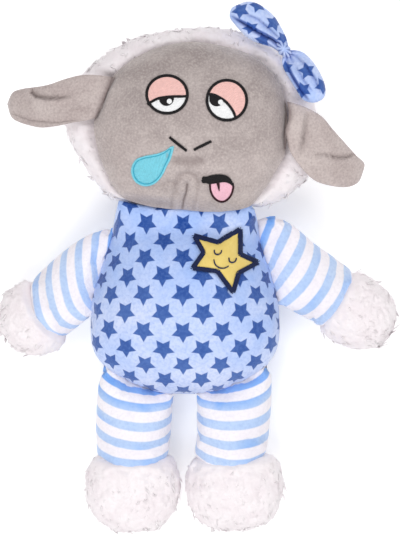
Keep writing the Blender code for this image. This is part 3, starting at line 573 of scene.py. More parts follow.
# Each limb: its cloth; the ends of its seam, in degrees round the body; the middle of its cuff; where
# it aims, in degrees; the cuff's width; the tube's thickness; the height of the hand or foot; how far
# its outer edge bows out; how far its shoulder rises; how far the cuff leans, and askew by what
# share; and the slant of its stripes.
LEFT_STRIPES = striped_fabric("striped_left_arm_minky", 0.0104, 0.0033, 0.047)
RIGHT_STRIPES = striped_fabric("striped_right_arm_minky", 0.0119, 0.0051, 0.060)
LEG_STRIPES = striped_fabric("striped_leg_minky", 0.0113, 0.0040, 0.037)
LEFT_LEAN, RIGHT_LEAN, LEG_LEAN = 0.0100, 0.0065, 0.009
limbs = {part: sleeve(part, *values) for part, *values in (
    ("arm_left", LEFT_STRIPES, (133.8, 189.5), (-0.0811, -0.0046), 213.2, 0.037, 0.026, 0.036, 0.005, 0.0014,
     LEFT_LEAN, 0.35, (-0.13, -0.26)),
    ("arm_right", RIGHT_STRIPES, (50.5, -2.4), (0.0904, 0.0006), -31.0, 0.037, 0.026, 0.036, 0.005, 0.0066,
     RIGHT_LEAN, 0, (0.0, 0.10)),
    ("leg_left", LEG_STRIPES, (-144.5, -96.5), (-0.0314, -0.0925), 270.5, 0.041, 0.034, 0.042, 0.002, 0,
     LEG_LEAN, 0, (-0.08, -0.18)),
    ("leg_right", LEG_STRIPES, (-33.7, -82.6), (0.0271, -0.0921), 273.0, 0.041, 0.034, 0.042, 0.002, 0,
     LEG_LEAN, 0, (0.14, -0.14)))}
for part, (piece, wrist, out) in limbs.items():
    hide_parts(part + "_sleeve", part + "_stuffing")
    hinged(piece, part, 0.004, 0.008)


# Hands and feet: sherpa bags without fingers, gathered into the cuffs. The curly locks of the
# pile are longer at the ends, where they stand out against the light.
def kept(piece, name, values):
    """Keep a number for each point of a piece, for its pile or its material."""
    layer = piece.data.attributes.new(name, "FLOAT", "POINT")
    layer.data.foreach_set("value", np.array(values, np.float32))


def sherpa_lock():
    """One flat lock of unit length that lies along X and lifts to its tip."""
    rows = []
    for share, wide, thick, high, aside in ((0.0, 0.08, 0.02, -0.05, 0.0), (0.35, 0.16, 0.04, -0.045, 0.05),
                                            (0.72, 0.13, 0.035, -0.05, 0.0), (1.0, 0.03, 0.01, -0.05, -0.08)):
        rows.append([Vector((share, aside + wide, high)), Vector((share, aside, high + thick)),
                     Vector((share, aside - wide, high))])
    lock = grid_piece("lock", rows)
    kept(lock, "tip", spots_of(lock)[:, 0])
    return lock


def hardened(piece, modifier):
    """The piece with what its modifier makes as its own mesh."""
    mesh = bpy.data.meshes.new_from_object(piece.evaluated_get(bpy.context.evaluated_depsgraph_get()))
    piece.modifiers.remove(modifier)
    old, piece.data = piece.data, mesh
    bpy.data.meshes.remove(old)


class Tree:
    """A Geometry Nodes tree with named inputs."""

    def __init__(self, name, **inputs):
        self.tree = bpy.data.node_groups.new(name, "GeometryNodeTree")
        self.tree.interface.new_socket("Geometry", in_out="OUTPUT", socket_type="NodeSocketGeometry")
        self.tree.interface.new_socket("Geometry", in_out="INPUT", socket_type="NodeSocketGeometry")
        self.sockets = {}
        for key, kind in inputs.items():
            made = self.tree.interface.new_socket(key, in_out="INPUT", socket_type="NodeSocket" + kind)
            self.sockets[key] = made.identifier
        self.given = self.tree.nodes.new("NodeGroupInput").outputs
        self.result = self.tree.nodes.new("NodeGroupOutput").inputs[0]

    def put(self, socket, value):
        if isinstance(value, bpy.types.NodeSocket):
            self.tree.links.new(value, socket)
        else:
            socket.default_value = value

    def node(self, kind, settings=None, output=None, **values):
        """A node: its settings, then the values or links of its sockets. It gives one of its outputs."""
        made = self.tree.nodes.new(kind)
        for key, value in (settings or {}).items():
            setattr(made, key, value)
        for key, value in values.items():
            name = key.replace("_", " ")
            self.put(next(one for one in made.inputs if one.name == name and one.enabled), value)
        return next(one for one in made.outputs if one.enabled and output in (None, one.name))

    def maths(self, operation, *values, kind="ShaderNodeMath"):
        """Numbers joined by a Math node."""
        made = self.tree.nodes.new(kind)
        made.operation = operation
        for socket, value in zip(made.inputs, values):
            self.put(socket, value)
        return made.outputs[0]

    def product(self, first, *others):
        """Numbers multiplied."""
        for other in others:
            first = self.maths("MULTIPLY", first, other)
        return first

    def vectors(self, operation, *values):
        """Vectors joined by a Vector Math node."""
        return self.maths(operation, *values, kind="ShaderNodeVectorMath")

    def scaled(self, vector, length):
        """A vector times a number."""
        return self.node("ShaderNodeVectorMath", {"operation": "SCALE"}, Vector=vector, Scale=length)

    def apply(self, piece, **values):
        """The piece's mesh as the tree makes it."""
        grown = piece.modifiers.new("grown", "NODES")
        grown.node_group = self.tree
        for key, value in values.items():
            grown[self.sockets[key]] = value
        hardened(piece, grown)


pile = Tree("sherpa_pile", Lock="Object", Density="Float", Length="Float", Comb="Vector", Swirl="Float",
            Curl="Float", Fineness="Int", Fabric="Material", Seed="Int")
given = pile.given
depth = pile.node("GeometryNodeInputNamedAttribute", {"data_type": "FLOAT"}, Name="pile")
rounded = pile.node("GeometryNodeSubdivisionSurface", Mesh=given["Geometry"], Level=given["Fineness"])
# The knitted ground rises and falls with the curls.
curls = pile.node("ShaderNodeTexNoise", None, "Fac", Scale=150.0, Detail=3.5, Roughness=0.62)
rise = pile.product(pile.maths("SUBTRACT", curls, 0.5), given["Curl"], depth)
facing = pile.node("GeometryNodeInputNormal", None, "Normal")
ground = pile.node("GeometryNodeSetPosition", Geometry=rounded, Offset=pile.scaled(facing, rise))
# The locks are spread over the smooth form and move with the ground.
spread = pile.node("GeometryNodeDistributePointsOnFaces", Mesh=rounded, Seed=given["Seed"],
                   Density=pile.product(given["Density"], depth))
outward = spread.node.outputs["Normal"]
rooted = pile.node("GeometryNodeSetPosition", Geometry=spread, Offset=pile.scaled(outward, rise))
# They lie along the comb and the wind, and a few stand up where the skin turns away from the front.
wind = pile.node("ShaderNodeTexNoise", {"normalize": False}, "Color", Scale=60.0, Detail=1.0)
lean = pile.vectors("ADD", given["Comb"], pile.scaled(wind, given["Swirl"]))
stand = pile.node("FunctionNodeAlignRotationToVector", {"axis": "Z"}, Vector=outward)
laid = pile.node("FunctionNodeAlignRotationToVector", {"axis": "X", "pivot_axis": "Z"}, Rotation=stand,
                 Vector=lean)
tilt = pile.node("FunctionNodeRandomValue", {"data_type": "FLOAT_VECTOR"}, Min=(-0.10, -0.06, -0.8),
                 Max=(0.10, 0.03, 0.8), Seed=given["Seed"])
size = pile.node("FunctionNodeRandomValue", {"data_type": "FLOAT"}, Min=0.7, Max=1.2, Seed=given["Seed"])
longest = pile.maths("POWER", pile.maths("DIVIDE", pile.maths("SUBTRACT", size, 0.7), 0.5), 5.0)
upward = pile.node("ShaderNodeSeparateXYZ", None, "Z", Vector=outward)
edge = pile.maths("MINIMUM", pile.maths("SUBTRACT", 1.1, pile.maths("ABSOLUTE", upward)), 1.0)
lift = pile.product(longest, edge, -0.38)
turned = pile.node("FunctionNodeRotateRotation", {"rotation_space": "LOCAL"}, Rotation=laid,
                   Rotate_By=pile.vectors("ADD", tilt, pile.node("ShaderNodeCombineXYZ", Y=lift)))
length = pile.product(size, given["Length"], depth, pile.maths("ADD", pile.product(edge, 0.6), 0.5))
lock_shape = pile.node("GeometryNodeObjectInfo", None, "Geometry", Object=given["Lock"])
planted = pile.node("GeometryNodeInstanceOnPoints", Points=rooted, Instance=lock_shape, Rotation=turned,
                    Scale=length)
real = pile.node("GeometryNodeRealizeInstances", Geometry=planted)
joined = pile.node("GeometryNodeJoinGeometry", Geometry=real)
pile.tree.links.new(ground, joined.node.inputs[0])
pile.put(pile.result, pile.node("GeometryNodeSetMaterial", Geometry=joined, Material=given["Fabric"]))

sherpa = Cloth("white_sherpa", 0.95, sheen=0.6)
# Painted shade: the locks' roots are a little darker than their tips, and darker patches at random stand for
# the shade between the clumps.
shade = sherpa.mix(sherpa.kept("tip"), screen(0.96, 0.935, 0.945), screen(0.975, 0.96, 0.965))
clump_shade = sherpa.ramp(sherpa.noise(0.008, 4, 0.6), (0.35, 0), (0.65, 1))
sherpa.colour(sherpa.mix(clump_shade * 0.5, shade, screen(0.915, 0.87, 0.888)))
sherpa.bump(sherpa.noise(0.0028, 3) + sherpa.noise(0.0010, 2) * 0.3, 0.0014, 0.4)

LOCK = sherpa_lock()
TIP_ROWS, TIP_COLUMNS = 14, 44
LOCK_LENGTH = 0.0052
PILE_DEPTH = 0.0007
# The table starts to press the pile below one height, and none of it goes below the other.
PRESSED, FLOOR = 0.001, 0.0001


def furry(piece, density, comb, curl, seed):
    """Plant the pile on a piece, where its points' pile attribute allows. The table presses it flat."""
    piece.data.materials.append(sherpa.material)
    pile.apply(piece, Lock=LOCK, Density=density, Length=LOCK_LENGTH, Comb=comb, Swirl=1.5, Curl=curl,
               Fineness=2, Fabric=sherpa.material, Seed=seed)
    spots = spots_of(piece)
    low = spots[:, 2] < PRESSED
    spots[low, 2] = FLOOR + (PRESSED - FLOOR) * np.exp((spots[low, 2] - PRESSED) / (PRESSED - FLOOR))
    piece.data.vertices.foreach_set("co", spots.ravel())
    piece.data.shade_smooth()


def backing(rows, middle):
    """The knitted back of the pile lies under the CAD surface by the pile's standing depth."""
    return [[spot + (middle - spot).normalized() * PILE_DEPTH for spot in ring] for ring in rows]


def tip_bag(node, part, wrist, out, middle, lean, seed, swell, slide):
    """A hand or foot of sherpa beyond its cuff, wider by a share where its pile swells."""
    side = out.cross(UP)
    rows = ball_rows(skin_of(node, part + "_stuffing"), middle, 0.9, TIP_ROWS, TIP_COLUMNS)
    rows = backing(rows, middle)
    rows = [[spot + side * ((spot - middle).dot(side) * swell + slide) for spot in ring] for ring in rows]
    tilted = out - Vector((0, 0, lean / middle[2]))
    cut = Vector((wrist.x, wrist.y, middle[2])) - out * 0.001
    for ring in rows:
        for index, spot in enumerate(ring):
            behind = (cut - spot).dot(tilted)
            if behind > 0:
                toward = (spot - middle).dot(-tilted)
                ring[index] = spot.lerp(middle, min(behind / toward, 0.95))
    piece = grid_piece(node + "_sherpa", rows)
    kept(piece, "pile", [float((Vector(spot) - cut).dot(tilted) > 0.0015) for spot in spots_of(piece)])
    furry(piece, density=52000, comb=out * 1.6, curl=0.0054, seed=seed)
    return piece


# Each bag: how far its middle lies past the cuff and over the table, how far the cuff leans, its
# seed, how much wider its pile makes it and how far it slides sideways.
for node, part, past, over, lean, seed, swell, slide in (
        ("hand_left", "arm_left", 0.016, 0.018, LEFT_LEAN * 1.5, 3, 0.09, 0.0),
        ("hand_right", "arm_right", 0.020, 0.018, RIGHT_LEAN, 4, 0.05, 0.0),
        ("foot_left", "leg_left", 0.026, 0.021, LEG_LEAN, 5, 0.06, 0.0003),
        ("foot_right", "leg_right", 0.026, 0.021, LEG_LEAN, 6, 0.09, -0.0015)):
    _, wrist, out = limbs[part]
    piece = tip_bag(node, part, wrist, out, wrist + out * past + UP * over, lean, seed, swell, slide)
    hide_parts(node)
    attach(piece, part)


# Hood: one sherpa bag for the back of the head that comes round to the front, where the face
# is sewn into it. Its pile stands as a white rim round the face.
HEAD_MIDDLE = Vector((0.0034, 0.1065, 0.040))
FACE_SEAM = 0.0535
NECK_SEAM = 0.0615
HOOD_ROWS, HOOD_COLUMNS = 22, 112
face_skin = skin_of("face_panel")
hood_rows = ball_rows(skin_of("head_back", "head_stuffing"), HEAD_MIDDLE, 0.8, HOOD_ROWS, HOOD_COLUMNS)
hood_rows = backing(hood_rows, HEAD_MIDDLE)
sewn_on = skin_of("ear_left_front", "ear_left_back", "ear_right_front", "ear_right_back", "bow_left_loop",
                  "bow_right_loop", "bow_tie")


def seen(x, y, height=None, tree=None, lift=0.0):
    """The point of a surface, or of a level plane, that the camera sees at a place in the picture."""
    target = MIDDLE + Vector(((x - PICTURE[0] / 2) * PIXEL, (PICTURE[1] / 2 - y) * PIXEL, 0))
    way = (target - camera.location).normalized()
    if tree is None:
        return camera.location + way * ((height - CAMERA_HEIGHT - MIDDLE.z) / way.z)
    hit, normal = tree.ray_cast(camera.location, way)[:2]
    return (hit + normal * lift, normal) if hit is not None else (None, None)


# The face's edge in the picture, from ear to ear under the chin.
CHEEKS = [(92.5, 122.5), (94.4, 135), (96.9, 147.5), (100.6, 160), (106.2, 172.5), (111.9, 185), (118, 193.5),
          (125, 199), (143, 205), (160, 208), (182, 209.5), (197, 211.3), (213, 212), (230, 211), (243, 209),
          (252, 205.5), (260, 195.5), (268, 185), (273.5, 175), (280, 165), (286, 155), (289, 145)]
cheeks = [seen(*spot, height=FACE_SEAM) - HEAD_MIDDLE for spot in CHEEKS]
cheek_turns = [atan2(way.y, way.x) % tau for way in cheeks]
cheek_reach = [hypot(way.x, way.y) for way in cheeks]


def solid_rim(turn):
    """Where the edge of the face's solid lies, seen from the middle of the head."""
    level = Vector((HEAD_MIDDLE.x, HEAD_MIDDLE.y, FACE_SEAM + 0.0004))
    return outermost(face_skin, level, Vector((cos(turn), sin(turn), 0)))


def face_rim(turn):
    """A point on the seam between the face and the hood. The chin hangs over the neck a little."""
    turn %= tau
    spot = solid_rim(turn)
    first, last = cheek_turns[0], cheek_turns[-1]
    share = eased(turn, first, first + 0.1) * (1 - eased(turn, last - 0.2, last))
    reach = np.interp(turn, cheek_turns, cheek_reach)
    drawn = Vector((HEAD_MIDDLE.x + cos(turn) * reach, HEAD_MIDDLE.y + sin(turn) * reach, spot.z))
    return spot.lerp(drawn, share)


def within_face(spot, spare):
    """True where a place lies inside the face's seam, seen from the front."""
    way = spot - HEAD_MIDDLE
    seam = face_rim(atan2(way.y, way.x)) - HEAD_MIDDLE
    return spot.z > 0.04 and hypot(way.x, way.y) < hypot(seam.x, seam.y) - spare


# Behind the face the bag is pressed in, out of the panel's way.
for ring in hood_rows:
    for spot in ring:
        if within_face(spot, 0.0005):
            spot.z = min(spot.z, FACE_SEAM - 0.009)
hood = grid_piece("hood_sherpa", hood_rows)
depths = []
for spot in spots_of(hood):
    covered = sewn_on.ray_cast(Vector(spot), UP)[0] is not None
    collar = spot[1] < NECK_SEAM and abs(spot[0] - NECK_MIDDLE) < NECK_HALF
    bare = collar or within_face(Vector(spot), 0.001)
    depths.append(0.0 if bare else 0.6 if covered else 1.0)
kept(hood, "pile", depths)
furry(hood, density=42000, comb=UP * -0.3, curl=0.0046, seed=7)
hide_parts("head_back", "head_stuffing")
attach(hood, "head")


# Face: one panel of grey velboa over the filling, sewn into the hood all round and taken in by a
# short dart under the mouth. The ears' seams and the folds of the cheeks draw it in.
FACE_ROWS, FACE_COLUMNS = 30, 112


def below(tree, x, y, fallback):
    """The height of a surface right under a point."""
    hit = tree.ray_cast(Vector((x, y, 0.3)), Vector((0, 0, -1)))[0]
    return hit.z if hit is not None else fallback


def shrunk(rim, share, height):
    """A ring of points drawn towards the middle of the head, at one height."""
    return [Vector((HEAD_MIDDLE.x + (spot.x - HEAD_MIDDLE.x) * share,
                    HEAD_MIDDLE.y + (spot.y - HEAD_MIDDLE.y) * share, height)) for spot in rim]


face_rows = [[Vector((HEAD_MIDDLE.x, HEAD_MIDDLE.y, below(face_skin, HEAD_MIDDLE.x, HEAD_MIDDLE.y, 0.08)))]]
rim = [face_rim(column / FACE_COLUMNS * tau) for column in range(FACE_COLUMNS)]
solid_edge = [solid_rim(column / FACE_COLUMNS * tau) for column in range(FACE_COLUMNS)]
for row in range(1, FACE_ROWS + 1):
    share = sin(row / FACE_ROWS * pi / 2)
    ring = []
    for spot, edge in zip(rim, solid_edge):
        place = HEAD_MIDDLE.lerp(spot, share * 0.999)
        under = HEAD_MIDDLE.lerp(edge, share * 0.999)
        ring.append(Vector((place.x, place.y, below(face_skin, under.x, under.y, FACE_SEAM))))
    face_rows.append(ring)
# The panel's edge turns in under the hood.
for share, down in ((0.985, 0.003), (0.93, 0.006), (0.6, 0.007)):
    face_rows.append(shrunk(rim, share, FACE_SEAM - down))
face_rows.append(shrunk(rim[:1], 0, FACE_SEAM - 0.007))
face = grid_piece("face_velboa", face_rows)
sewn_edge = range(1 + (FACE_ROWS - 1) * FACE_COLUMNS, len(face.data.vertices))
puff(face, sewn_edge, cap=0.002, pressure=400, growth=0.012, bend=2.0)
rounder = face.modifiers.new("round", "SUBSURF")
rounder.levels = rounder.render_levels = 2
hardened(face, rounder)
face.data.attributes.new("crease", "FLOAT", "POINT")


def drawn_in(piece, path, *waves):
    """Draw the cloth in along a sewn line. Each wave is how far away it lies, its width and its height. Where
    the cloth sinks it is marked for painted shade.
    """
    path = [seen(*spot, height=0.075) for spot in path]
    crease = piece.data.attributes["crease"]
    for index, vertex in enumerate(piece.data.vertices):
        if vertex.co.z < FACE_SEAM:
            continue
        reach = 1.0
        for start, end in zip(path, path[1:]):
            line = (end - start).to_2d()
            away = (vertex.co - start).to_2d()
            share = min(max(away.dot(line) / line.dot(line), 0), 1)
            reach = min(reach, (away - line * share).length)
        rise = sum(high * exp(-((reach - far) / wide) ** 2) for far, wide, high in waves)
        vertex.co.z += rise * min(1, (vertex.co.z - FACE_SEAM) / 0.004)
        # Painted shade: the deeper the groove, the darker the cloth is painted.
        crease.data[index].value += max(-rise, 0) / 0.002


# The dart, the folds under the nose and in the cheeks, and the pull of the two ears' seams, each with painted
# shade in its groove.
drawn_in(face, [(187.2, 184), (186.4, 191), (183.6, 200), (182, 209)], (0, 0.0006, -0.0024),
         (0.0032, 0.0014, 0.0009), (0.0066, 0.0013, -0.0007), (0.0092, 0.0016, 0.0004))
drawn_in(face, [(176, 160.6), (188, 161.4), (200, 160.6)], (0, 0.0026, -0.0015), (0.0052, 0.0022, 0.0006))
drawn_in(face, [(163, 184), (170, 181), (175, 183)], (0, 0.0014, -0.0006))
drawn_in(face, [(126, 199), (150, 202), (172, 205)], (0, 0.0022, -0.0009), (0.0045, 0.002, 0.0005))
drawn_in(face, [(114, 77), (106.5, 91), (101.5, 106), (96.5, 115), (91, 120)], (0, 0.0010, -0.0022))
drawn_in(face, [(286.5, 101), (287.5, 112), (286, 124), (284.5, 134), (286, 147)], (0, 0.0012, -0.0018),
         (0, 0.0055, -0.0007))


def grey_cloth(name, light, dark, shade_span):
    """Grey short-pile velboa, brushed this way and that. It is painted darker over a span in metres along Y,
    towards the toy's top, where less light falls, and darker in the creases that a piece keeps: both are
    painted shade.
    """
    cloth = Cloth(name, 0.85, sheen=0.6)
    brushed = cloth.ramp(cloth.noise(0.030, 3, 0.6), (0.32, 0), (0.66, 1))
    # Painted shade: darker towards the toy's top along Y, where less light falls.
    high = cloth.node("MapRange", None, cloth.axis(cloth.place(), "Y"), *shade_span, 0.0, 1.0)
    tone = cloth.mix(high, screen(*light), screen(*dark))
    tone = cloth.mix(brushed * 0.6, tone, screen(*dark))
    stroked = cloth.ramp(cloth.noise(0.014, 4, 0.6), (0.42, 0), (0.72, 0.6))
    tone = cloth.mix(stroked, tone, screen(0.83, 0.785, 0.77))
    grain = cloth.noise(0.0009, 2, 0.6)
    tone = cloth.mix(cloth.ramp(grain, (0.48, 0), (0.8, 0.5)), tone, screen(0.87, 0.82, 0.80))
    tone = cloth.mix(cloth.ramp(grain, (0.2, 0.5), (0.48, 0)), tone, screen(0.58, 0.52, 0.51))
    # Painted shade: darker brown in the creases that a piece keeps.
    crease = cloth.maths("MINIMUM", cloth.kept("crease") * 0.55, 0.8)
    cloth.colour(cloth.mix(crease, tone, screen(0.40, 0.335, 0.335)))
    cloth.bump(cloth.noise(0.0010, 3) + cloth.noise(0.0055, 2) * 0.8, 0.0010, 0.5)
    return cloth.material


FACE_VELBOA = grey_cloth("grey_face_velboa", (0.765, 0.714, 0.705), (0.60, 0.556, 0.548), (0.055, 0.165))
face.data.materials.append(FACE_VELBOA)
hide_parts("face_panel")
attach(face, "head")


# Embroidery: rayon threads laid side by side in satin stitch. Areas are filled with short rows,
# and every edge is covered by stitches laid across it.
THREAD_STEP = 0.62
THREAD_HEIGHT = 0.00022
SHORTEST_STITCH = 0.3


def thread_mesh():
    """One stitch of unit half length, half width and half height, rounded at both ends."""
    rows = [[Vector((-1, 0, 0))]]
    for turn in (0.75, 0.35, -0.35, -0.75):
        reach = 1 - abs(turn) ** 2 * 0.35
        rows.append([Vector((-turn * 1.25, reach * cos(angle), reach * sin(angle)))
                     for angle in (side / 6 * tau for side in range(6))])
    rows.append([Vector((1, 0, 0))])
    return grid_piece("stitch", rows)


satin = Tree("satin_stitches", Stitch="Object", Thread="Material")
along, up, size = (satin.node("GeometryNodeInputNamedAttribute", {"data_type": "FLOAT_VECTOR"}, Name=key)
                   for key in ("along", "up", "size"))
points = satin.node("GeometryNodeMeshToPoints", Mesh=satin.given["Geometry"])
facing = satin.node("FunctionNodeAlignRotationToVector", {"axis": "Z"}, Vector=up)
laid = satin.node("FunctionNodeAlignRotationToVector", {"axis": "X", "pivot_axis": "Z"}, Rotation=facing,
                  Vector=along)
shape = satin.node("GeometryNodeObjectInfo", None, "Geometry", Object=satin.given["Stitch"])
sewn = satin.node("GeometryNodeInstanceOnPoints", Points=points, Instance=shape, Rotation=laid, Scale=size)
real = satin.node("GeometryNodeRealizeInstances", Geometry=sewn)
satin.put(satin.result, satin.node("GeometryNodeSetMaterial", Geometry=real, Material=satin.given["Thread"]))
STITCH = thread_mesh()


def thread(name, red, green, blue, rough=0.45):
    """Shiny rayon thread of one colour."""
    cloth = Cloth(name, rough, sheen=0.1)
    streak = cloth.noise(0.0012, 2)
    cloth.colour(cloth.mix(streak, screen(red * 0.93, green * 0.93, blue * 0.93),
                           screen(min(red * 1.05, 1), min(green * 1.05, 1), min(blue * 1.05, 1))))
    cloth.bump(cloth.noise(0.0003, 1), 0.0001, 0.4)
    return cloth.material


def straight(points, closed, step=THREAD_STEP):
    """A line with corners through points of the picture, divided evenly."""
    spots = np.array([*points, points[0]] if closed else points, float)
    reach = np.concatenate([[0], np.cumsum(np.linalg.norm(np.diff(spots, axis=0), axis=1))])
    places = np.linspace(0, reach[-1], max(int(round(reach[-1] / step)), 2) + 1)
    places = places[:-1] if closed else places
    return np.stack([np.interp(places, reach, spots[:, axis]) for axis in (0, 1)], axis=1)


def dense(points, closed, step=THREAD_STEP):
    """A smooth line through points of the picture, divided evenly."""
    spots = [np.array(point, float) for point in points]
    count = len(spots)
    fine = []
    for index in range(count if closed else count - 1):
        before = spots[index - 1] if closed or index else spots[0]
        start, end = spots[index], spots[(index + 1) % count]
        after = spots[(index + 2) % count] if closed or index + 2 < count else end
        for t in np.linspace(0, 1, 12, endpoint=False):
            fine.append(start + (end - before) * t / 2
                        + (2 * before - 5 * start + 4 * end - after) * t ** 2 / 2
                        + (3 * start - before - 3 * end + after) * t ** 3 / 2)
    return straight(fine if closed else [*fine, spots[-1]], closed, step)


class Embroidery:
    """One motif sewn through the cloth that lies under it."""

    def __init__(self, name, ground, seed):
        self.name, self.ground = name, ground
        self.chance = np.random.default_rng(seed)
        self.sewn = {}

    def stitch(self, colour, start, end, width, lift):
        """One thread between two places of the picture."""
        (near, up), (far, _) = (seen(*spot, tree=self.ground, lift=lift) for spot in (start, end))
        if near is None or far is None:
            return
        half = (far - near) / 2
        size = (half.length * 1.02, width * PIXEL / 2, THREAD_HEIGHT)
        self.sewn.setdefault(colour, []).append((near + half, half.normalized(), up, size))

    def line(self, colour, path, widths, lift=0.0005, closed=True):
        """Satin stitches across a path, of one width or of widths at its start, middle and end."""
        widths = np.broadcast_to(widths, 3)
        count = len(path)
        for index in range(count):
            before = path[index - 1] if closed or index else path[0]
            after = path[(index + 1) % count] if closed or index + 1 < count else path[-1]
            ahead = (after - before) / max(np.linalg.norm(after - before), 1e-9)
            across = np.array((-ahead[1], ahead[0])) + ahead * 0.12
            width = np.interp(index / max(count - 1, 1), (0, 0.5, 1), widths)
            half = across * width / 2 * self.chance.uniform(0.94, 1.06)
            self.stitch(colour, path[index] - half, path[index] + half, 0.85, lift)

    def fill(self, colour, outline, angle, lift=0.0002, length=5.5):
        """Rows of short stitches over an area."""
        ahead = np.array((cos(radians(angle)), sin(radians(angle))))
        aside = np.array((-ahead[1], ahead[0]))
        flat = np.stack([outline @ ahead, outline @ aside], axis=1)
        low, high = flat[:, 1].min(), flat[:, 1].max()
        for row, level in enumerate(np.arange(low + THREAD_STEP / 2, high, THREAD_STEP)):
            after = np.roll(flat, -1, axis=0)
            cross = (flat[:, 1] - level) * (after[:, 1] - level) < 0
            share = (level - flat[cross, 1]) / (after[cross, 1] - flat[cross, 1])
            hits = np.sort(flat[cross, 0] + share * (after[cross, 0] - flat[cross, 0]))
            for start, end in zip(hits[::2], hits[1::2]):
                if end - start < SHORTEST_STITCH:
                    continue
                offset = start - length * ((row * 0.37) % 1)
                while offset < end:
                    first, last = max(offset, start), min(offset + length, end)
                    if last - first > SHORTEST_STITCH:
                        near = ahead * first + aside * level
                        far = ahead * last + aside * level
                        self.stitch(colour, near, far, 0.95, lift)
                    offset += length

    def finish(self, body, slot, *nodes):
        """The motif as one mesh that stands for its CAD nodes."""
        parts = []
        for colour, rows in self.sewn.items():
            data = bpy.data.meshes.new(self.name)
            data.from_pydata([row[0] for row in rows], [], [])
            for key, column in (("along", 1), ("up", 2), ("size", 3)):
                values = np.array([list(row[column]) for row in rows], np.float32)
                data.attributes.new(key, "FLOAT_VECTOR", "POINT").data.foreach_set("vector", values.ravel())
            part = placed(self.name, data)
            satin.apply(part, Stitch=STITCH, Thread=colour)
            part.data.materials.clear()
            part.data.materials.append(colour)
            parts.append(part)
        motif = joined_pieces(self.name, parts)
        motif.data.shade_smooth()
        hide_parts(*nodes)
        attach(motif, body)


def joined_pieces(name, parts):
    """Several pieces made one mesh, each with its own material."""
    mesh = bmesh.new()
    data = bpy.data.meshes.new(name)
    for index, part in enumerate(parts):
        before = len(mesh.faces)
        mesh.from_mesh(part.data)
        mesh.faces.ensure_lookup_table()
        for face_index in range(before, len(mesh.faces)):
            mesh.faces[face_index].material_index = index
        data.materials.append(part.data.materials[0])
    mesh.to_mesh(data)
    mesh.free()
    for part in parts:
        bpy.data.objects.remove(part)
    return placed(name, data)


def tree_of(piece):
    """A search tree over a finished piece."""
    return BVHTree.FromObject(piece, bpy.context.evaluated_depsgraph_get())


def ellipse(x, y, wide, tall):
    """An oval in the picture."""
    turns = np.linspace(0, tau, 48, endpoint=False)
    return straight([(x + wide * cos(turn), y + tall * sin(turn)) for turn in turns], True)


BLACK = thread("black_thread", 0.10, 0.09, 0.10)
LID = thread("peach_thread", 0.97, 0.785, 0.76)
WHITE = thread("white_thread", 0.98, 0.98, 0.99)
face_ground = tree_of(face)


def below_line(spot, line):
    """True where a place lies under a line that runs to the right, or left of where it falls away."""
    nearest = int(np.argmin(np.linalg.norm(line - spot, axis=1)))
    near = line[max(nearest - 1, 0)]
    far = line[min(nearest + 1, len(line) - 1)]
    return (far[0] - near[0]) * (spot[1] - near[1]) - (far[1] - near[1]) * (spot[0] - near[0]) > 0


def round_of(spots):
    """Places in order round their middle, as an outline."""
    centre = np.mean(spots, axis=0)
    return np.array(sorted(spots, key=lambda spot: atan2(spot[1] - centre[1], spot[0] - centre[0])))


def embroidered_eye(side, middle, half, lid_line, pupil, glint, seed):
    """A heavy-lidded eye: white, lid, pupil, glint, and black edges."""
    work = Embroidery(f"eye_{side}_threads", face_ground, seed)
    rim = ellipse(*middle, *half)
    lid = dense(lid_line, False)
    work.fill(WHITE, rim, 90)
    turns = np.arctan2(rim[:, 1] - middle[1], rim[:, 0] - middle[0])
    first, last = (atan2(spot[1] - middle[1], spot[0] - middle[0]) for spot in (lid[0], lid[-1]))
    sweep = (last - first) % tau
    part = sorted((((turn - first) % tau), index) for index, turn in enumerate(turns))
    upper = [rim[index] for angle, index in part if angle < sweep]
    work.fill(LID, np.array([*upper, *lid[::-1]]), 90, 0.0004)
    disc = ellipse(*pupil, 7.4, 7.9)
    lower = [spot for spot in disc if below_line(spot, lid)]
    shade = [spot for spot in lid if np.linalg.norm(spot - np.array(pupil)) < 7.6]
    work.fill(BLACK, round_of([*lower, *shade]), 90, 0.0005)
    work.fill(WHITE, ellipse(*glint, 2.6, 2.4), 0, 0.0008)
    work.line(BLACK, rim, 2.9, 0.0006)
    work.line(BLACK, lid, (2.4, 2.8, 2.4), 0.0007, closed=False)
    work.finish("head", "eye_thread", f"eye_{side}")


embroidered_eye("left", (167.2, 94.7), (20.2, 18.7),
                [(147.9, 104.5), (152, 101.9), (158.3, 98.8), (165.9, 97.5), (173.6, 96.8), (181.2, 96.8),
                 (187.4, 96.4)],
                pupil=(166.6, 98.2), glint=(169.6, 101.6), seed=11)
embroidered_eye("right", (226.6, 100.4), (19.7, 19.8),
                [(207.2, 94.3), (211, 94.6), (215.7, 95.9), (223.3, 100.2), (229.1, 105.9), (232.9, 111.7),
                 (235.6, 118.4)],
                pupil=(216.4, 98.6), glint=(220.4, 102.4), seed=12)

for side, ends in (("left", ((169.8, 137.3), (178.2, 144.2), (186.5, 150.7))),
                   ("right", ((194.2, 149.8), (202.6, 145.4), (210.9, 141.3)))):
    nose = Embroidery(f"nose_{side}_threads", face_ground, 13)
    nose.line(BLACK, dense(ends, False), (2.5, 3.0, 2.5), closed=False)
    nose.finish("head", "black_thread", f"nose_{side}")

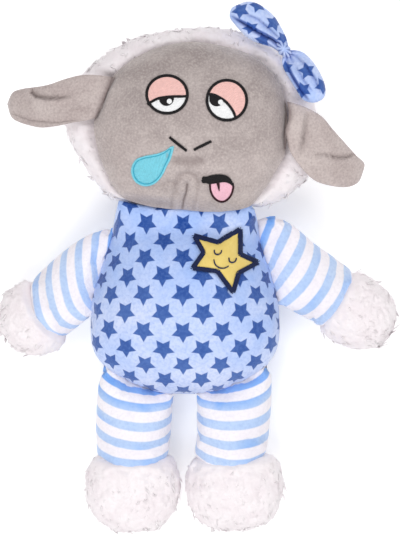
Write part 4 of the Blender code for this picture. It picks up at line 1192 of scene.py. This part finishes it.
TURQUOISE = thread("turquoise_thread", 0.51, 0.835, 0.90)
TEAL = thread("teal_thread", 0.27, 0.70, 0.80)
drop_rim = dense([(173.6, 146.2), (166.5, 150.6), (158.6, 153.6), (151, 155.2), (144, 156.6), (136, 160.2),
                  (131.9, 168.4), (133, 176.8), (137.8, 183), (146, 185.6), (154.2, 183.2), (161.4, 176.2),
                  (167.4, 164.4), (171.9, 154)], True)
drop = Embroidery("drop_threads", face_ground, 14)
drop.fill(TURQUOISE, drop_rim, angle=35)
drop_middle = np.array((148.5, 169.0))
drop.line(TURQUOISE, drop_middle + (drop_rim - drop_middle) * 0.96, 2.0, 0.0005)
drop.line(TEAL, drop_middle + (drop_rim - drop_middle) * 0.88, 1.0, 0.0006)
drop.finish("head", "turquoise_thread", "drop_patch")

PINK = thread("pink_thread", 0.98, 0.77, 0.83)
MAROON = thread("maroon_thread", 0.22, 0.10, 0.13)
tongue_rim = dense([(209.9, 183.2), (210.9, 190.4), (214.3, 196.9), (219.8, 200.6), (225.3, 199.8),
                    (230.1, 194.9), (232.4, 187.9), (232, 183.4), (226, 180.5), (217, 180.5)], True)
tongue = Embroidery("tongue_threads", face_ground, 15)
tongue.fill(PINK, tongue_rim, angle=90)
tongue.line(MAROON, dense([(209.8, 181.5), (210.6, 190.4), (214, 197.2), (219.8, 201), (225.6, 200.2),
                           (230.6, 195.2), (233, 187.9), (232.6, 183)], False), 2.0, 0.0005, closed=False)
tongue.line(MAROON, dense([(217.9, 182.5), (218.6, 186.5), (219.1, 190.4)], False), (3.4, 2.2, 0.8), 0.0006,
            closed=False)
tongue.finish("head", "pink_thread", "tongue")
mouth = Embroidery("mouth_threads", face_ground, 16)
mouth.fill(BLACK, dense([(202.3, 176.6), (206.4, 176.3), (211.9, 174.6), (219.5, 174.0), (226.2, 175.3),
                         (231, 179.4), (233.4, 185.8), (229.3, 183.2), (224.3, 181.7), (217.6, 182.5),
                         (210.4, 183.6), (206, 182.6), (202.3, 182.2)], True),
           angle=80, lift=0.0007, length=7.5)
mouth.finish("head", "black_thread", "mouth")


# Star on the belly: a patch of smooth yellow cloth, its edge covered by navy satin stitch, with a
# sleeping face sewn in the same thread.
star_rim = straight([(239.3, 228.6), (218.0, 243.3), (194.0, 236.8), (203.6, 253.4), (192.6, 268.8),
                     (216.6, 271.4), (232.2, 292.6), (237.4, 273.4), (256.6, 263.0), (239.0, 254.6)], True)
body_ground = tree_of(body)
NAVY = thread("navy_thread", 0.09, 0.14, 0.30)
yellow = Cloth("yellow_satin_cloth", 0.5, sheen=0.3)
yellow.colour(yellow.mix(yellow.noise(0.004, 3), screen(0.90, 0.78, 0.41), screen(0.94, 0.85, 0.52)))
yellow.bump(yellow.noise(0.0006, 2) + yellow.noise(0.006, 2) * 0.6, 0.0006, 0.5)
star_middle = np.array((221.5, 257.5))
PATCH_THICKNESS = 0.0012
rings = []
for share in (1.0, 0.85, 0.6, 0.3):
    rings.append([seen(*(star_middle + (spot - star_middle) * share), tree=body_ground,
                       lift=0.0005 + 0.0010 * (1 - share ** 3))[0] for spot in star_rim])
top = [[seen(*star_middle, tree=body_ground, lift=0.0015)[0]]] + rings[::-1]
under = [[spot - UP * PATCH_THICKNESS for spot in ring] for ring in [*rings, top[0]]]
star_patch = grid_piece("star_cloth", top + under)
star_patch.data.materials.append(yellow.material)
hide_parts("star_patch")
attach(star_patch, "torso")
star_ground = tree_of(star_patch)
border = Embroidery("star_border_threads", body_ground, 17)
border.line(NAVY, star_rim, 4.6, 0.0013)
border.ground = star_ground
for path in ([(214.2, 250.4), (214.8, 253.6), (217.6, 254.8), (220.6, 253.2), (221.6, 250.6)],
             [(228.6, 258.0), (229.2, 261.4), (232.0, 262.6), (235.0, 261.2), (236.0, 258.4)],
             [(213.8, 260.0), (215.0, 264.4), (219.0, 267.6), (224.0, 268.2), (228.2, 266.2)]):
    border.line(NAVY, dense(path, False, 0.5), (1.0, 1.4, 1.0), 0.0004, closed=False)
border.finish("torso", "navy_thread", "star_border")


# Ears: two layers of velboa sewn back to back and turned, soft enough to droop and fold. Their open
# ends are gathered and caught in the seam between face and hood.
EAR_VELBOA = grey_cloth("grey_ear_velboa", (0.765, 0.71, 0.70), (0.66, 0.605, 0.595), (0.06, 0.30))
EAR_ROWS, EAR_COLUMNS = 52, 96
EAR_THICKNESS = 0.0052
EAR_DROOP = 0.024
FULL_SHADE = 0.004


def away_from(place, path):
    """How far a place of the picture lies from a path, on which side, and how far along it."""
    path = np.array(path, float)
    best = (1e9, 1, 0)
    for index, (start, end) in enumerate(zip(path, path[1:])):
        line = end - start
        share = np.clip((place - start) @ line / (line @ line), 0, 1)
        gap = place - start - line * share
        reach = hypot(*gap)
        if reach < best[0]:
            side = 1 if line[0] * gap[1] - line[1] * gap[0] > 0 else -1
            best = (reach, side, (index + share) / (len(path) - 1))
    return best


def folded(place, folds):
    """The height and the shade of folds at a place: (path, width, rise, drop), the rise on its right."""
    total = shade = 0
    for path, width, rise, drop in folds:
        reach, side, along = away_from(place, path)
        fade = sin(min(max(along, 0.001), 0.999) * pi) ** 0.5
        if side > 0:
            total += rise * fade * exp(-(reach / (width * 2.2)) ** 2)
            shade += fade * exp(-(reach / (width * 0.35)) ** 2) * drop / FULL_SHADE
        else:
            total -= drop * fade * exp(-reach / width)
            shade += fade * exp(-(reach / (width * 0.8)) ** 1.5) * drop / FULL_SHADE
    return total, shade


def ear(side, upper, lower, root, folds):
    """One ear between its two edges, read off the picture, with its folds. Its root is gathered by shifts."""
    part = f"ear_{side}"
    seam = hinge_of(part)[1]
    edges = [dense(edge, False, 0.5) for edge in (upper, lower)]
    root = np.array(root, float)
    rows, shades = [], []
    for row in range(EAR_ROWS + 1):
        share = sin(row / EAR_ROWS * pi / 2) ** 1.1
        ends = [np.array([np.interp(share * (len(edge) - 1), range(len(edge)), edge[:, axis])
                          for axis in (0, 1)]) for edge in edges]
        full = EAR_THICKNESS / 2 * max(1 - share ** 6, 0.02) ** 0.5
        ring = []
        for column in range(EAR_COLUMNS):
            turn = column / EAR_COLUMNS * tau
            cosine, sine = cos(turn), sin(turn)
            across = (1 - copysign(abs(cosine) ** 0.85, cosine)) / 2
            place = ends[0] * (1 - across) + ends[1] * across
            shift = np.array([np.interp(across, root[:, 0], root[:, axis]) for axis in (1, 2)])
            place = place + (1 - share) ** 6 * shift
            relief, shade = folded(place, folds)
            # Painted shade: dark on the upper side of the folds' creases, and at the root where the ear goes
            # into the seam.
            shades.append(shade * (sine > 0) + exp(-(share / 0.035) ** 2) * 1.2)
            height = seam.z + 0.0008 - EAR_DROOP * share ** 2 + relief * min(1, share * 5)
            spot = seen(*place, height=height)
            ring.append(Vector((spot.x, spot.y, height + full * copysign(abs(sine) ** 0.7, sine))))
        rows.append(ring)
    piece = grid_piece(part + "_velboa", rows)
    kept(piece, "crease", shades)
    piece.data.materials.append(EAR_VELBOA)
    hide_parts(part + "_front", part + "_back")
    hinged(piece, part, 0.004, 0.009)


ear("left",
    [(113, 77), (97, 75), (81.6, 75), (65, 79), (49, 84.5), (35.7, 87), (23.5, 88.6), (12.6, 92.6),
     (7.2, 104)],
    [(96, 117.5), (88.8, 120), (71, 123), (57, 126), (43, 127.6), (33.7, 126.4), (20.4, 122.6), (11.4, 117),
     (7.2, 104)],
    [(0, 0, 0), (0.5, 0.8, 0.5), (1, 0, 0)],
    [([(33, 87), (31, 93), (36, 97.5), (46, 99.8), (58, 99.4), (72, 97)], 2.8, 0.0030, 0.0034),
     ([(10, 113), (30, 121), (55, 123.4), (85, 119)], 2.2, 0.0007, 0.0009),
     ([(98, 110), (84, 108), (68, 110)], 4.0, 0.0010, 0.0008)])
ear("right",
    [(287, 101.5), (301.8, 105.6), (321, 115.8), (332.6, 129), (347, 145), (356, 155), (364.4, 163.4),
     (363, 172)],
    [(288, 147), (291, 153.5), (296, 161), (303, 170), (315, 180.8), (332.6, 186.2), (348, 187), (358.6, 182),
     (363, 172)],
    [(0, 0, 0), (0.2, 1.4, 0), (0.4, 1.0, 0), (0.65, -2.6, 0), (0.85, -0.8, 0), (1, 0, 0)],
    [([(314, 156.5), (322, 155.6), (331, 157), (338, 158.8), (347, 158.2), (356, 154)], 2.0, 0.0024, 0.0030),
     ([(307, 112), (305, 122), (303.5, 132), (302.5, 142), (299, 152)], 6.5, 0.0020, 0.0026),
     ([(290, 106), (291, 113), (289, 120)], 3.2, 0.0008, 0.0014)])


# Bow: two puffed loops of the star fabric, gathered in the middle by a knot and sewn to the hood.
# Each loop is cut from its own place in the cloth, so its stars fall differently.
KNOT = np.array((287.8, 53.0))
PLEATS = 9
LOOP_ROWS = 26
KNOT_ROWS, KNOT_COLUMNS = 24, 56
# The stars of each loop: where they lie from its middle in the picture, their size, turn and height.
BOW_CLOTHS = {
    "left": star_fabric("star_print_left_bow_minky", [
        (-18.4, -14.2, 9.2, 8, 1.0), (-1.5, -19.8, 8.8, 20, 1.0), (14.6, -1.3, 9.0, -20, 1.0),
        (-8.4, 3.4, 9.2, 14, 0.72), (4.0, 15.5, 8.4, 30, 0.9), (24.4, 13.2, 7.4, 0, 0.9)], 0.011),
    "right": star_fabric("star_print_right_bow_minky", [
        (1.3, -5.8, 9.0, 22, 1.0), (-2.0, 13.4, 8.8, 12, 1.0), (18.0, 9.0, 9.0, 0, 1.0),
        (-19, -9, 7.5, 30, 1.0)], 0.011)}


def bow_loop(side, outline, middle, folds):
    """One loop: a flat pillow with its folds, gathered towards the knot."""
    part = f"bow_{side}"
    rim = dense(outline, True, 0.9)
    middle = np.array(middle, float)
    far = max(np.linalg.norm(rim - KNOT, axis=1))
    rows, flat, shades = [], [], []
    base = hinge_of(part)[0]["pos_m"][2] + 0.0010
    shares = [sin(row / LOOP_ROWS * pi / 2) for row in range(LOOP_ROWS + 1)]
    for layer_side, order in ((1, shares), (-1, shares[-2::-1])):
        for share in order:
            ring = []
            for spot in rim if share > 0 else [rim[0]]:
                place = middle + (spot - middle) * share
                gap = place - KNOT
                reach = hypot(*gap) / far
                full = 0.0066 * min(1, reach / 0.4) ** 0.9 * max(1 - share ** 2.6, 0) ** 0.5
                pleat = cos(PLEATS * atan2(gap[1], gap[0])) * 0.0009 * exp(-(reach / 0.3) ** 2)
                height = base + 0.0070 * reach
                relief, shade = folded(place, folds)
                relief += pleat
                # Painted shade: dark in the folds' creases and near the knot, darkest in the pleats' hollows,
                # on the upper layer only.
                shades.append((shade + exp(-(reach / 0.16) ** 2) * (0.5 - 400 * pleat)) * (layer_side > 0))
                if layer_side > 0:
                    full += relief * (1 - share ** 8)
                seat = seen(*place, height=height)
                ring.append(Vector((seat.x, seat.y, height + layer_side * full)))
                flat.append(((place[0] - middle[0]) * PIXEL, (middle[1] - place[1]) * PIXEL))
            rows.append(ring)
    piece = grid_piece(part + "_cloth", rows)
    kept(piece, "crease", shades)
    mapped(piece, flat)
    piece.data.materials.append(BOW_CLOTHS[side])
    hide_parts(part + "_loop")
    hinged(piece, part, 0.003, 0.008)


bow_loop("left", [(289, 52), (288, 45), (285.7, 36.6), (279.8, 25), (274, 16), (265, 8.2), (256.4, 3),
                  (247.6, 1.5), (238.8, 4.2), (231.5, 8.4), (229.8, 17), (236, 26), (244.7, 35.5),
                  (252, 40.5), (262, 44.4), (272, 47.5), (281, 53)],
         (259, 25),
         [([(285, 48), (273, 39), (259, 32), (245, 23.5), (231, 16)], 3.2, 0.0026, 0.0052),
          ([(283, 42), (272, 31), (258, 19), (242, 13)], 3.0, 0.0012, 0.0016),
          ([(280, 52), (268, 44), (254, 38)], 2.4, 0.0010, 0.0020)])
bow_loop("right", [(289, 50), (301.8, 51.8), (312, 60.6), (320.5, 73.8), (325.3, 87), (324, 97.5),
                   (314.6, 102.6), (303, 99.7), (295, 88), (287.7, 76), (283.4, 68), (282, 60), (284.4, 53)],
         (305, 77),
         [([(309, 101), (300, 88), (292, 75), (287, 62)], 2.8, 0.0022, 0.0046),
          ([(321, 94), (316, 80), (307, 66), (296, 56)], 3.0, 0.0014, 0.0018),
          ([(313, 92), (305, 82), (296, 66)], 2.6, 0.0010, 0.0012)])
# The knot: a small pleated ball, its long side across the bow.
gathered = seen(283.6, 49.6, height=0.0530)
across_bow = Matrix.Rotation(radians(-50), 3, "Z")
rows, shades, flat = [], [], []
for row in range(KNOT_ROWS + 1):
    rise = pi * row / KNOT_ROWS - pi / 2
    ring = []
    for column in range(KNOT_COLUMNS if 0 < row < KNOT_ROWS else 1):
        turn = column / KNOT_COLUMNS * tau
        pleat = cos(PLEATS * turn + 1.0)
        fold = 1 + 0.09 * pleat * cos(rise)
        local = Vector((0.0054 * fold * cos(turn), 0.0036 * fold * sin(turn), 0)) * cos(rise) ** 0.8
        local.z = (0.0056 + 0.0006 * pleat * cos(rise)) * sin(rise)
        spot = across_bow @ local
        ring.append(gathered + spot)
        flat.append((spot.x + 14 * PIXEL, spot.y + 24 * PIXEL))
        # Painted shade: dark in the pleats' hollows, except on the knot's underside.
        shades.append(max(0.0, 0.55 - 1.1 * (pleat + 0.35)) * cos(rise) * (rise > -0.4))
    rows.append(ring)
knot = grid_piece("bow_knot_cloth", rows)
kept(knot, "crease", shades)
mapped(knot, flat)
knot.data.materials.append(BOW_CLOTHS["left"])
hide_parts("bow_tie")
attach(knot, "head")

for pattern in (LOCK, STITCH):
    bpy.data.objects.remove(pattern)
